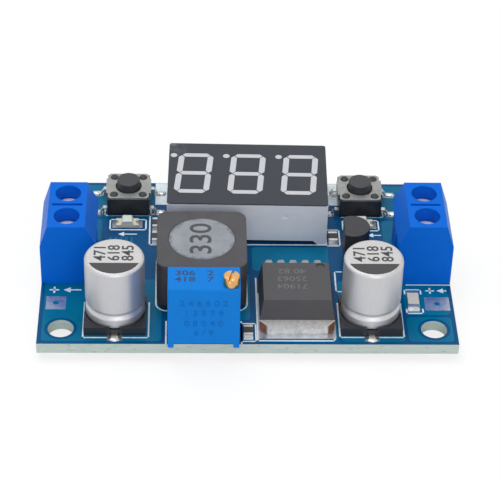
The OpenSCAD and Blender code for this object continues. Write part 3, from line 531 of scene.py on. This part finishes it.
class ConverterStage(bpy.types.Operator):
    """Adds the camera, the lights, the surroundings and the floor"""
    bl_idname = "converter.stage"
    bl_label = "Stage"

    def execute(self, context):
        settings = context.scene.converter_stage
        self.add_camera(context, settings)
        self.add_surroundings(context, settings)
        add_light("key_light", (-0.12, 0.10, 0.70), 0.5, settings.key_power)
        add_light("fill_light", (0.10, -0.75, 0.42), 0.5, settings.fill_power)
        only()
        bpy.ops.mesh.primitive_plane_add(size=4, location=(0, 0, CAD_BOX[0].z))
        floor = bpy.context.object
        floor.name = "floor"
        floor.data.materials.append(stage_material(settings.floor_colour))
        return {"FINISHED"}

    def add_camera(self, context, settings):
        place, aim = Vector(settings.camera_place), Vector(settings.camera_aim)
        turn = ((aim - place).to_track_quat("-Z", "Y")
                @ Matrix.Rotation(settings.camera_roll, 3, "Z").to_quaternion())
        only()
        bpy.ops.object.camera_add(location=place, rotation=turn.to_euler())
        camera = bpy.context.object
        camera.data.lens = settings.lens
        camera.data.sensor_width = 36
        camera.data.clip_start = 0.005
        context.scene.camera = camera

    def add_surroundings(self, context, settings):
        world = bpy.data.worlds.new("studio")
        world.use_nodes = True
        tree = world.node_tree
        background = tree.nodes["Background"]
        background.inputs["Color"].default_value = (1, 1, 1, 1)
        level = tree.nodes.new("ShaderNodeMapRange")
        tree.links.new(seen_rays(tree), level.inputs[0])
        level.inputs[3].default_value = settings.sky_strength
        level.inputs[4].default_value = 1
        tree.links.new(level.outputs[0], background.inputs["Strength"])
        context.scene.world = world
        context.scene.view_settings.view_transform = "Standard"


# ---- board

def board_material(settings):
    """Glossy lacquer on both faces and cut laminate with its glass layers on the edges and in the holes."""
    finish = Finish("board_lacquer", settings.mask, 0.3, Coat_Weight=0.03, Coat_Roughness=0.2,
                    Specular_IOR_Level=0.12)
    weave = finish.noise(0.5 * MM, 2, at=finish.stretched(1, 0.25, 1))
    cloud = finish.noise(7 * MM, 3)
    lacquer = finish.mix(
        finish.spread(cloud, 0.3, 0.7), darker(settings.mask, 0.86), darker(settings.mask, 1.12))
    lacquer = finish.mix(finish.spread(weave, 0.45, 0.75, 0, 0.25), lacquer, darker(settings.mask, 1.3))
    layers = finish.noise(0.4 * MM, 3, 0.6, at=finish.stretched(6, 6, 0.35))
    cut = finish.mix(layers, darker(settings.laminate, 0.72), darker(settings.laminate, 1.12))
    specks = finish.cells(0.9 * MM, at=finish.stretched(1.6, 1.6, 0.5))
    cut = finish.mix(finish.spread(specks, 0.0, 0.28, 0.55, 0), cut, shade(128, 126, 112))
    flat = finish.spread(finish.math("ABSOLUTE", finish.axes(finish.normal)[2]), 0.5, 0.6)
    return finish.paint(
        Base_Color=finish.mix(flat, cut, lacquer),
        Roughness=finish.spread(flat, 0, 1, 0.62, 0.27),
        Normal=finish.relief(layers, 0.01 * MM, finish.relief(cloud, 0.01 * MM)))


def copper_material(settings):
    """The same lacquer where copper lies under it: lighter, smoother and greener."""
    colour = settings.copper_mask
    finish = Finish("lacquer_on_copper", colour, 0.3, Coat_Weight=0.03, Coat_Roughness=0.2,
                    Specular_IOR_Level=0.12)
    cloud = finish.noise(5 * MM, 3)
    fine = finish.noise(0.2 * MM, 2)
    return finish.paint(
        Base_Color=finish.mix(finish.spread(cloud, 0.3, 0.7), darker(colour, 0.88), darker(colour, 1.1)),
        Normal=finish.relief(fine, 0.002 * MM))


# Copper areas under the lacquer, in millimetres from the board's centre: left, front, right, back
COPPER_AREAS = [
    (-27.6, -17.3, -11.6, -4.4), (-27.6, -4.0, -20.3, 9.2), (-27.6, 9.7, -12.9, 17.3),
    (0.9, -17.3, 12.0, -13.0), (12.5, -17.3, 21.0, -4.6),
    (21.5, -17.3, 27.6, -12.2), (21.5, -11.8, 27.6, -4.2),
    (19.6, -3.7, 27.6, 9.0), (14.4, 9.5, 27.6, 17.3), (-10.8, -12.9, 0.4, -3.0), (0.9, -2.4, 11.6, 2.9)]


def copper_areas(material):
    """The copper fields and a few tracks, raised by their own thickness under the lacquer."""
    thickness = 0.02 * MM
    pieces = []
    for left, front, right, back in COPPER_AREAS:
        low = Vector((left * MM, front * MM, BOARD_TOP))
        high = Vector((right * MM, back * MM, BOARD_TOP + thickness))
        pieces.append(new_plate(low, high, 0.6 * MM))
    for step in range(5):
        x = (-19.2 + 0.75 * step) * MM
        pieces.append(new_block(
            (x, -3.6 * MM, BOARD_TOP), (x + 0.35 * MM, 5.0 * MM, BOARD_TOP + thickness)))
    return dress(joined("copper_fields", pieces), material, NODES["circuit_board"]["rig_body"])


class ConverterBoard(bpy.types.Operator):
    """Finishes the circuit board and raises the copper under its lacquer"""
    bl_idname = "converter.board"
    bl_label = "Circuit Board"

    def execute(self, context):
        settings = context.scene.converter_finish
        recoat(board_material(settings), "circuit_board")
        copper = copper_areas(copper_material(settings))
        self.clear_holes(copper)
        return {"FINISHED"}

    def clear_holes(self, copper):
        """Cuts the copper back around the corner holes."""
        reach = Vector((25.05 * MM, 14.75 * MM, BOARD_TOP))
        for x, y in ((-1, -1), (-1, 1), (1, -1), (1, 1)):
            centre = Vector((x * reach.x, y * reach.y, BOARD_TOP - MM))
            cutter = new_disc(centre, 2.2 * MM, 2 * MM)
            only(copper)
            cut = copper.modifiers.new("hole", "BOOLEAN")
            cut.operation = "DIFFERENCE"
            cut.object = cutter
            bpy.ops.object.modifier_apply(modifier=cut.name)
            bpy.data.objects.remove(cutter)


# ---- legend

def ink_material(settings):
    """Screen-printed ink: matt, a little thin in places."""
    finish = Finish("legend_ink", settings.ink, 0.55)
    thin = finish.noise(0.35 * MM, 3, 0.6)
    colour = finish.mix(finish.spread(thin, 0.25, 0.5), shade(190, 218, 230), settings.ink)
    return finish.paint(Base_Color=colour, Normal=finish.relief(thin, 0.003 * MM))


class Legend:
    """Collects the ink lines on the board's top."""

    def __init__(self, width):
        self.half = width / 2
        self.low = BOARD_TOP + 0.005 * MM
        self.high = BOARD_TOP + INK_LIFT
        self.pieces = []

    def field(self, left, front, right, back):
        low = Vector((left * MM, front * MM, self.low))
        self.pieces.append(new_block(low, (right * MM, back * MM, self.high)))

    def line(self, *points):
        """Straight strokes from point to point, along X or Y."""
        half = self.half / MM
        for (x0, y0), (x1, y1) in zip(points, points[1:]):
            self.field(min(x0, x1) - half, min(y0, y1) - half, max(x0, x1) + half, max(y0, y1) + half)

    def frame(self, left, front, right, back):
        self.line((left, front), (right, front), (right, back), (left, back), (left, front))

    def ring(self, left, front, right, back, radius):
        """A frame with round corners, cut from a rounded plate."""
        half = self.half / MM
        outer = new_plate(((left - half) * MM, (front - half) * MM, self.low),
                          ((right + half) * MM, (back + half) * MM, self.high), radius * MM, 6)
        inner = new_plate(((left + half) * MM, (front + half) * MM, self.low - MM),
                          ((right - half) * MM, (back - half) * MM, self.high + MM),
                          (radius - 2 * half) * MM, 6)
        only(outer)
        cut = outer.modifiers.new("inside", "BOOLEAN")
        cut.operation = "DIFFERENCE"
        cut.object = inner
        bpy.ops.object.modifier_apply(modifier=cut.name)
        bpy.data.objects.remove(inner)
        self.pieces.append(outer)

    def plus(self, x, y, size):
        bar = size / 5
        self.field(x - size / 2, y - bar / 2, x + size / 2, y + bar / 2)
        self.field(x - bar / 2, y - size / 2, x + bar / 2, y + size / 2)

    def arrow(self, tail, head, y, size):
        """A level arrow from tail to head, with a three-sided tip."""
        way = 1 if head > tail else -1
        bar = size / 5
        neck = head - way * size * 0.75
        self.field(min(tail, neck), y - bar / 2, max(tail, neck), y + bar / 2)
        only()
        bpy.ops.mesh.primitive_cylinder_add(
            vertices=3, radius=size * 0.55 * MM, depth=self.high - self.low,
            location=((head - way * size * 0.5) * MM, y * MM, (self.low + self.high) / 2),
            rotation=(0, 0, -way * math.pi / 2))
        self.pieces.append(settle(bpy.context.object))


class ConverterLegend(bpy.types.Operator):
    """Prints the outlines and the plain signs on the board"""
    bl_idname = "converter.legend"
    bl_label = "Board Legend"

    def execute(self, context):
        legend = Legend(context.scene.converter_print.line_width)
        self.capacitor_frames(legend)
        self.part_frames(legend)
        self.signs(legend)
        piece = joined("board_legend", legend.pieces)
        dress(piece, ink_material(context.scene.converter_finish),
              NODES["circuit_board"]["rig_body"])
        return {"FINISHED"}

    def capacitor_frames(self, legend):
        """Open at the front where the lead comes out."""
        for left, right, front, lead in ((-22.04, -13.3, -16.6, -17.8), (12.3, 20.9, -16.43, 16.55)):
            back = -9.4
            legend.line((lead - 1.0, front), (left, front), (left, back))
            legend.line((lead + 1.0, front), (right, front), (right, back))

    def part_frames(self, legend):
        legend.ring(-12.4, -11.05, 0.0, 1.3, 1.6)
        for x in (-10.97, -0.87):
            legend.line((x, -17.75), (x, -13.3))
        legend.line((1.3, -4.1), (1.3, -17.16), (11.55, -17.16), (11.55, -15.0))
        legend.line((-19.96, 12.0), (-19.96, 10.04), (-13.38, 10.04), (-13.38, 12.0))
        legend.line((13.71, 12.0), (13.71, 9.85), (19.97, 9.85), (19.97, 12.0))
        for side in (-1, 1):
            legend.frame(min(side * 14.05, side * 19.15), 6.7, max(side * 14.05, side * 19.15), 9.05)
        for back, foot in ((-6.45, -7.3), (-11.43, -10.6)):
            legend.line((21.7, foot), (21.7, back), (23.9, back), (23.9, foot))
        legend.frame(11.5, 3.2, 13.4, 6.83)
        legend.frame(-0.87, -17.28, 1.05, -13.66)
        legend.line((-11.6, 10.35), (-13.5, 10.35), (-13.5, 3.3), (-11.6, 3.3))
        legend.line((0.4, 3.4), (11.3, 3.4))
        legend.line((13.2, -6.9), (12.3, -6.9), (12.3, -2.6), (13.2, -2.6))
        legend.line((22.1, -5.4), (28.0, -5.4))
        legend.field(-12.8, 12.6, 14.1, 17.75)

    def signs(self, legend):
        """A plus and an arrow at each pair of poles, and an arrow at each light."""
        legend.plus(-26.3, -6.7, 1.3)
        legend.arrow(-22.6, -25.0, -6.7, 1.2)
        legend.plus(25.2, -6.65, 1.2)
        legend.arrow(27.5, 26.2, -6.65, 1.1)
        legend.arrow(-15.3, -17.9, 5.7, 1.0)
        legend.arrow(19.4, 17.5, 5.65, 1.0)


# ---- solder

class ConverterSolder(bpy.types.Operator):
    """Finishes the pads and adds the solder on them"""
    bl_idname = "converter.solder"
    bl_label = "Pads and Solder"

    def execute(self, context):
        tin = plated("bright_tin", shade(214, 214, 212), 0.3, 0.35 * MM, 0.02 * MM, 0.35)
        pad = plated("tinned_pads", shade(196, 200, 208), 0.36, 0.5 * MM, 0.015 * MM, 0.3)
        recoat(pad, "solder_pads")
        recoat(tin, "solder_joints")
        seed = context.scene.converter_print.solder_seed
        lumps = [solder_lump(centre, size, seed + index)
                 for index, (centre, size) in enumerate(self.places())]
        dress(joined("solder_drops", lumps), tin, NODES["circuit_board"]["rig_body"])
        return {"FINISHED"}

    def places(self):
        """Centre and size of each drop, from the leads that it holds."""
        pad_top = BOARD_TOP + 0.04 * MM
        found = []
        for name in ("output_capacitor_leads", "input_capacitor_leads"):
            low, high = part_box(name)
            middle = (low.x + high.x) / 2
            for y in (low.y, high.y):
                found.append(((middle, y, pad_top), (1.5 * MM, 1.1 * MM, 0.3 * MM)))
        for name in ("left_switch_legs", "right_switch_legs"):
            low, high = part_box(name)
            for x in (low.x, high.x):
                for y in (low.y + 0.35 * MM, high.y - 0.35 * MM):
                    found.append(((x, y, pad_top), (1.3 * MM, 1.0 * MM, 0.3 * MM)))
        low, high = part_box("regulator_leads")
        for step in range(5):
            x = low.x + 0.4 * MM + (high.x - low.x - 0.8 * MM) * step / 4
            found.append(((x, high.y - 0.5 * MM, pad_top), (1.0 * MM, 2.0 * MM, 0.4 * MM)))
        return found


# ---- screw terminals

class ConverterTerminals(bpy.types.Operator):
    """Finishes the two screw terminals with their cages, contacts and screws"""
    bl_idname = "converter.terminals"
    bl_label = "Screw Terminals"

    def execute(self, context):
        colour = context.scene.converter_finish.terminal
        plastic = moulded("terminal_blue", colour, 0.42, mottle=0.06, Specular_IOR_Level=0.09)
        for side in ("output", "input"):
            rounded_node(side + "_terminal_housing", 0.12 * MM, plastic)
        steel = plated("zinc_screws", shade(248, 246, 240), 0.42, 0.15 * MM, 0.008 * MM, metallic=0.2)
        zinc = plated("zinc_cages", shade(178, 180, 182), 0.4)
        tin = plated("tinned_contacts", shade(206, 202, 190), 0.34)
        poles = [f"{side}_{pole}" for side in ("output", "input") for pole in ("plus", "minus")]
        recoat(steel, *(pole + "_screw" for pole in poles))
        recoat(zinc, *(pole + "_cage" for pole in poles))
        recoat(tin, "output_terminal_contacts", "input_terminal_contacts")
        return {"FINISHED"}


# ---- capacitors

def can_material():
    """Drawn aluminium under clear lacquer: fine upright draw marks and a speckled top."""
    colour = shade(206, 206, 209)
    finish = Finish("drawn_can", colour, 0.45, 0.7)
    marks = finish.noise(0.1 * MM, 2, at=finish.stretched(1, 1, 12))
    speckle = finish.noise(0.12 * MM, 3, 0.7)
    up = finish.spread(finish.axes(finish.normal)[2], 0.7, 0.9)
    body = finish.mix(marks, darker(colour, 0.9), darker(colour, 1.06))
    top = finish.mix(finish.spread(speckle, 0.35, 0.65), shade(178, 177, 178), shade(214, 213, 212))
    return finish.paint(
        Base_Color=finish.mix(up, body, top),
        Roughness=finish.spread(up, 0, 1, 0.42, 0.55),
        Normal=finish.relief(speckle, 0.003 * MM))


def print_material(name, colour):
    """Printed ink with slightly broken edges and tone."""
    finish = Finish(name, colour, 0.5)
    tone = finish.noise(0.15 * MM, 3, 0.6)
    return finish.paint(
        Base_Color=finish.mix(tone, darker(colour, 0.75), darker(colour, 1.35)),
        Normal=finish.relief(tone, 0.002 * MM))


class ConverterCapacitors(bpy.types.Operator):
    """Finishes the two capacitors and prints their tops"""
    bl_idname = "converter.capacitors"
    bl_label = "Capacitors"

    def execute(self, context):
        can = can_material()
        base = moulded("capacitor_base_black", shade(34, 38, 46), 0.45, mottle=0.2)
        tin = plated("capacitor_leads_tin", shade(212, 212, 208), 0.3)
        ink = print_material("can_print", shade(58, 56, 60))
        rows = context.scene.converter_print.capacitor_rows.split(",")
        for side in ("output", "input"):
            recoat(can, side + "_capacitor_can")
            recoat(tin, side + "_capacitor_leads")
            rounded_node(side + "_capacitor_base", 0.08 * MM, base)
            self.print_top(side, rows, ink)
        return {"FINISHED"}

    def print_top(self, side, rows, ink):
        """The dark segment on the minus side and three rows of figures that read from the side."""
        low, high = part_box(side + "_capacitor_can")
        centre = (low + high) / 2
        top = Vector((centre.x, centre.y, high.z + 0.002 * MM))
        segment = new_disc(top, (high.x - low.x) / 2 - 0.45 * MM, PRINT_T, 64)
        chord = -1.35 * MM
        only(segment)
        bpy.ops.object.mode_set(mode="EDIT")
        bpy.ops.mesh.select_all(action="SELECT")
        bpy.ops.mesh.bisect(plane_co=top + Vector((0, chord, 0)), plane_no=(0, 1, 0),
                            use_fill=True, clear_outer=True)
        bpy.ops.object.mode_set(mode="OBJECT")
        pieces = [segment]
        for index, row in enumerate(rows):
            place = top + Vector(((index - 1) * 1.85 * MM, 0.75 * MM, PRINT_T / 2))
            pieces.append(new_text(row, 1.6 * MM, place, 90, 1.0, weight=0.03 * MM))
        piece = joined(side + "_capacitor_print", pieces)
        dress(piece, ink, NODES[side + "_capacitor_can"]["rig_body"])


# ---- inductor

def ferrite_material(name, colour):
    """Pressed ferrite: matt, with soft clouds and tiny pits."""
    finish = Finish(name, colour, 0.55)
    cloud = finish.noise(2.2 * MM, 4, 0.55)
    pits = finish.cells(0.5 * MM)
    tone = finish.mix(finish.spread(cloud, 0.3, 0.7), darker(colour, 0.75), darker(colour, 1.25))
    return finish.paint(
        Base_Color=finish.mix(finish.spread(pits, 0, 0.22, 0.5, 0), tone, darker(colour, 0.5)),
        Roughness=finish.spread(cloud, 0.3, 0.7, 0.45, 0.65),
        Normal=finish.relief(finish.spread(pits, 0, 0.2), 0.012 * MM))


def drum_material(centre, radius):
    """The core's ground face: lighter and blotchy, with a smudged dark rim of glue."""
    colour = shade(150, 155, 163)
    finish = Finish("ground_core", colour, 0.5)
    x, y, _ = finish.axes()
    across = finish.math("SUBTRACT", x, centre.x)
    along = finish.math("SUBTRACT", y, centre.y)
    reach = finish.math("SQRT", finish.math("ADD", finish.math("MULTIPLY", across, across),
                                            finish.math("MULTIPLY", along, along)))
    blot = finish.noise(1.1 * MM, 4, 0.6)
    edge = finish.math(
        "ADD", finish.math("DIVIDE", reach, radius), finish.spread(blot, 0.2, 0.8, -0.12, 0.12))
    face = finish.mix(
        finish.spread(finish.noise(2 * MM, 3), 0.3, 0.7), darker(colour, 0.86), darker(colour, 1.1))
    return finish.paint(
        Base_Color=finish.mix(finish.spread(edge, 0.9, 1.04), face, shade(96, 96, 101)),
        Roughness=finish.spread(blot, 0.3, 0.7, 0.42, 0.62),
        Normal=finish.relief(blot, 0.006 * MM))


class ConverterInductor(bpy.types.Operator):
    """Finishes the inductor and prints its core"""
    bl_idname = "converter.inductor"
    bl_label = "Inductor"

    def execute(self, context):
        body = NODES["inductor_shield"]["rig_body"]
        rounded_node("inductor_shield", 0.5 * MM,
                     ferrite_material("shield_ferrite", shade(68, 67, 72)), 3)
        low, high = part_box("inductor_drum")
        centre = (low + high) / 2
        recoat(drum_material(centre, (high.x - low.x) / 2), "inductor_drum")
        copper = plated("lacquered_copper", shade(190, 112, 64), 0.3)
        recoat(copper, "inductor_winding")
        recoat(moulded("inductor_tray", shade(40, 41, 45), 0.5), "inductor_base")
        recoat(plated("inductor_clips", shade(208, 208, 204), 0.32), "inductor_terminals")
        ink = print_material("core_print", shade(62, 62, 66))
        self.fill_ring(centre, (high.x - low.x) / 2, high.z, body)
        place = Vector((centre.x, centre.y, high.z + PRINT_T))
        figures = new_text(context.scene.converter_print.inductor_rows, 3.0 * MM, place, 90, 1.1,
                           weight=0.04 * MM)
        figures.name = "inductor_print"
        dress(figures, ink, body)
        return {"FINISHED"}

    def fill_ring(self, centre, radius, top, body):
        """The bead of glue between the drum and its shield."""
        bead = 0.05 * MM
        only()
        bpy.ops.mesh.primitive_torus_add(
            major_segments=72, minor_segments=8, major_radius=radius + 0.03 * MM, minor_radius=bead,
            location=(centre.x, centre.y, top - bead))
        piece = smooth(settle(bpy.context.object), 60)
        piece.name = "inductor_glue"
        dress(piece, moulded("glue_grey", shade(96, 96, 101), 0.5, mottle=0.25), body)


# ---- trimmer

class ConverterTrimmer(bpy.types.Operator):
    """Finishes the trimmer, prints its top and raises figures on its front"""
    bl_idname = "converter.trimmer"
    bl_label = "Trimmer"

    def execute(self, context):
        colour = context.scene.converter_finish.trimmer
        plastic = moulded("trimmer_blue", colour, 0.42, mottle=0.08, Specular_IOR_Level=0.15)
        rounded_node("trimmer_housing", 0.1 * MM, plastic)
        brass = plated("brass", shade(238, 184, 118), 0.26, 0.3 * MM, 0.01 * MM, 0.3)
        rounded_node("trimmer_screw", 0.06 * MM, brass)
        recoat(plated("trimmer_pins_tin", shade(208, 208, 204), 0.32), "trimmer_pins")
        self.print_top()
        self.raise_front(colour)
        return {"FINISHED"}

    def print_top(self):
        low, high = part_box("trimmer_housing")
        ink = print_material("trimmer_print", shade(8, 58, 104))
        z = high.z + 0.003 * MM
        pieces = []
        for row, words in ((0.95, ("306", "2")), (-0.35, ("418", "7"))):
            y = (low.y + high.y) / 2 + row * MM
            for text, x in zip(words, (2.3, 5.6)):
                pieces.append(new_text(text, 1.0 * MM, (low.x + x * MM, y, z), 0, 1.3, weight=0.03 * MM))
        dress(joined("trimmer_print", pieces), ink, NODES["trimmer_housing"]["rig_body"])

    def raise_front(self, colour):
        """Four shallow rows of plain figures that the mould leaves on the front, painted a darker blue as
        painted shade of their low relief.
        """
        # Painted shade: the figures are the housing's own plastic, and their darker blue stands in for the
        # shade of the relief.
        shadow = moulded("trimmer_relief_painted_shade", darker(colour, 0.72), 0.5, Specular_IOR_Level=0.2)
        low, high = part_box("trimmer_housing")
        pieces = []
        for z, words in ((7.6, "2 4 6 8 0 2"), (5.9, "1 3 5 7 9"), (4.2, "0 8 0 4 0"), (2.6, "6 / 9")):
            place = ((low.x + high.x) / 2, low.y - 0.005 * MM, BOARD_TOP + z * MM)
            pieces.append(new_text(words, 0.95 * MM, place, 0, 1.1, 0.05 * MM, True))
        dress(joined("trimmer_relief", pieces), shadow,
              NODES["trimmer_housing"]["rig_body"])


# ---- display

def film_material(colour, low, high):
    """Dark printed film with a faint haze, rubbed corners and fine scratches."""
    finish = Finish("display_film", colour, 0.42, Specular_IOR_Level=0.35)
    haze = finish.noise(4 * MM, 4, 0.6)
    scratch = finish.noise(0.8 * MM, 2, at=finish.stretched(0.12, 2.2, 1, turn=0.5))
    lines = finish.spread(scratch, 0.72, 0.8, 0, 0.35)
    x, y, _ = finish.axes()
    rub = finish.noise(1.2 * MM, 4, 0.7)
    near_left = finish.spread(x, low.x + 0.2 * MM, low.x + 3.2 * MM, 1, 0)
    near_back = finish.spread(y, high.y - 3.5 * MM, high.y - 0.4 * MM, 0, 1)
    corner = finish.math(
        "MULTIPLY", finish.math("MULTIPLY", near_left, near_back), finish.spread(rub, 0.42, 0.62))
    tone = finish.mix(finish.spread(haze, 0.3, 0.7), darker(colour, 0.9), darker(colour, 1.15))
    tone = finish.mix(lines, tone, shade(120, 122, 128))
    return finish.paint(
        Base_Color=finish.mix(finish.math("MULTIPLY", corner, 0.6), tone, shade(150, 152, 156)),
        Roughness=finish.spread(haze, 0.3, 0.7, 0.36, 0.5),
        Normal=finish.relief(scratch, 0.002 * MM))


class ConverterDisplay(bpy.types.Operator):
    """Finishes the three-digit display"""
    bl_idname = "converter.display"
    bl_label = "Display"

    def execute(self, context):
        settings = context.scene.converter_finish
        low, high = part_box("display_face")
        recoat(film_material(settings.film, low, high), "display_face")
        housing = moulded("display_grey", settings.display, 0.42, mottle=0.05)
        rounded_node("display_housing", 0.1 * MM, housing)
        resin = moulded("segment_resin", shade(206, 207, 214), 0.5, 0.2 * MM, 0.004 * MM, 0.06)
        recoat(resin, "display_segments")
        recoat(plated("display_pins_tin", shade(208, 208, 204), 0.32), "display_pins")
        return {"FINISHED"}


# ---- push buttons

class ConverterButtons(bpy.types.Operator):
    """Finishes the two push buttons"""
    bl_idname = "converter.buttons"
    bl_label = "Push Buttons"

    def execute(self, context):
        black = moulded("switch_black", shade(34, 35, 40), 0.42, mottle=0.15)
        steel = plated(
            "switch_cover_steel", shade(160, 162, 160), 0.45, 0.08 * MM, 0.003 * MM, metallic=0.7)
        cap = moulded("button_black", shade(56, 56, 61), 0.5, mottle=0.1)
        spring = plated("dome_steel", shade(200, 200, 198), 0.25)
        tin = plated("switch_legs_tin", shade(214, 212, 206), 0.3)
        for side in ("left", "right"):
            rounded_node(side + "_switch_base", 0.06 * MM, black)
            rounded_node(side + "_switch_cover", 0.05 * MM, steel)
            rounded_node(side + "_switch_button", 0.08 * MM, cap)
            self.spring_dome(side, spring)
            recoat(tin, side + "_switch_legs")
        return {"FINISHED"}

    def spring_dome(self, side, material):
        """The snap dome, as a rounded copy with a mesh of its own."""
        node = side + "_switch_dome"
        dome = rounded_node(node, 0.01 * MM, material, 1)
        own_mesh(dome)


# ---- power regulator

def tab_material(low, high):
    """Tinned heat tab: bright tin with duller patches, and bare copper at its cut corners."""
    tin = shade(232, 230, 226)
    finish = Finish("tinned_tab", tin, 0.36, 0.45)
    x, _, _ = finish.axes()
    middle = (low.x + high.x) / 2
    aside = finish.math("ABSOLUTE", finish.math("SUBTRACT", x, middle))
    corner = finish.spread(aside, (high.x - middle) - 1.1 * MM, (high.x - middle) - 0.8 * MM)
    side = finish.spread(finish.axes(finish.normal)[2], 0.3, 0.5, 1, 0)
    film = finish.noise(0.7 * MM, 4, 0.6)
    tone = finish.mix(finish.spread(film, 0.35, 0.7), tin, darker(tin, 0.7))
    return finish.paint(
        Base_Color=finish.mix(finish.math("MULTIPLY", corner, side), tone, shade(168, 104, 74)),
        Roughness=finish.spread(film, 0.3, 0.7, 0.28, 0.48),
        Normal=finish.relief(film, 0.012 * MM))


class ConverterRegulator(bpy.types.Operator):
    """Finishes the power regulator"""
    bl_idname = "converter.regulator"
    bl_label = "Power Regulator"

    def execute(self, context):
        epoxy = moulded("regulator_epoxy", shade(70, 70, 74), 0.52, 0.09 * MM, 0.008 * MM, 0.12)
        rounded_node("regulator_body", 0.1 * MM, epoxy)
        low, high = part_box("regulator_tab")
        recoat(tab_material(low, high), "regulator_tab")
        recoat(plated("regulator_leads_tin", shade(206, 206, 203), 0.32), "regulator_leads")
        self.print_top()
        return {"FINISHED"}

    def print_top(self):
        """Faint rows of plain figures, as a laser leaves them."""
        low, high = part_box("regulator_body")
        ink = print_material("regulator_print", shade(104, 104, 108))
        middle = (low.x + high.x) / 2
        pieces = []
        for y, words in ((-2.3, "40 82"), (-3.9, "25063"), (-5.5, "71904")):
            place = (middle - 0.6 * MM, high.y + y * MM, high.z + 0.002 * MM)
            pieces.append(new_text(words, 1.0 * MM, place, 180, 1.2))
        dress(joined("regulator_print", pieces), ink, NODES["regulator_body"]["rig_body"])


# ---- small parts

def chip_material():
    """Dark glazed resistors, and at the input the pale ceramic of a capacitor."""
    finish = Finish("chip_ceramic", shade(48, 47, 50), 0.4)
    grain = finish.noise(0.2 * MM, 3)
    dark = finish.mix(grain, shade(38, 37, 40), shade(58, 57, 60))
    pale = finish.mix(grain, shade(196, 190, 176), shade(222, 218, 206))
    near_input = finish.spread(finish.axes()[0], 18 * MM, 18.5 * MM)
    return finish.paint(
        Base_Color=finish.mix(near_input, dark, pale),
        Normal=finish.relief(grain, 0.003 * MM))


class ConverterSmallParts(bpy.types.Operator):
    """Finishes the lights, the chips, the diode and the small regulator"""
    bl_idname = "converter.small_parts"
    bl_label = "Small Parts"

    def execute(self, context):
        epoxy = moulded("small_epoxy", shade(44, 45, 50), 0.45, 0.1 * MM, 0.006 * MM, 0.15)
        tin = plated("small_leads_tin", shade(210, 210, 206), 0.32)
        rounded_node("small_regulator_body", 0.12 * MM, epoxy)
        rounded_node("diode_body", 0.05 * MM, epoxy)
        recoat(epoxy, "controller_body")
        recoat(tin, "small_regulator_legs", "diode_leads", "controller_leads", "chip_ends")
        recoat(chip_material(), "chip_bodies")
        recoat(moulded("light_base", shade(222, 218, 198), 0.5, mottle=0.1), "led_bases")
        lens = moulded("light_lens", shade(232, 240, 226), 0.2, mottle=0.05, Coat_Weight=0.4)
        recoat(lens, "led_lenses")
        return {"FINISHED"}


# ---- panel and registration

OPERATORS = (
    ConverterStage, ConverterBoard, ConverterLegend, ConverterSolder, ConverterTerminals,
    ConverterCapacitors,
    ConverterInductor, ConverterTrimmer, ConverterDisplay, ConverterButtons, ConverterRegulator,
    ConverterSmallParts)
SETTINGS = {
    "converter_stage": StageSettings, "converter_finish": FinishSettings, "converter_print": PrintSettings}


class ConverterPanel(bpy.types.Panel):
    """Settings and steps of the converter module"""
    bl_idname = "VIEW3D_PT_converter"
    bl_label = "Voltage Converter Module"
    bl_space_type = "VIEW_3D"
    bl_region_type = "UI"
    bl_category = "Converter"

    def draw(self, context):
        for name, group in SETTINGS.items():
            box = self.layout.box()
            box.label(text=group.__doc__.rstrip("."))
            for key in group.__annotations__:
                box.prop(getattr(context.scene, name), key)
        column = self.layout.column(align=True)
        for operator in OPERATORS:
            column.operator(operator.bl_idname)


def register():
    for group in SETTINGS.values():
        bpy.utils.register_class(group)
    for name, group in SETTINGS.items():
        setattr(bpy.types.Scene, name, bpy.props.PointerProperty(type=group))
    for operator in OPERATORS:
        bpy.utils.register_class(operator)
    bpy.utils.register_class(ConverterPanel)


def unregister():
    bpy.utils.unregister_class(ConverterPanel)
    for operator in reversed(OPERATORS):
        bpy.utils.unregister_class(operator)
    for name in SETTINGS:
        delattr(bpy.types.Scene, name)
    for group in SETTINGS.values():
        bpy.utils.unregister_class(group)


def main():
    register()
    for operator in OPERATORS:
        group, step = operator.bl_idname.split(".")
        getattr(getattr(bpy.ops, group), step)()


if __name__ == "__main__":
    main()
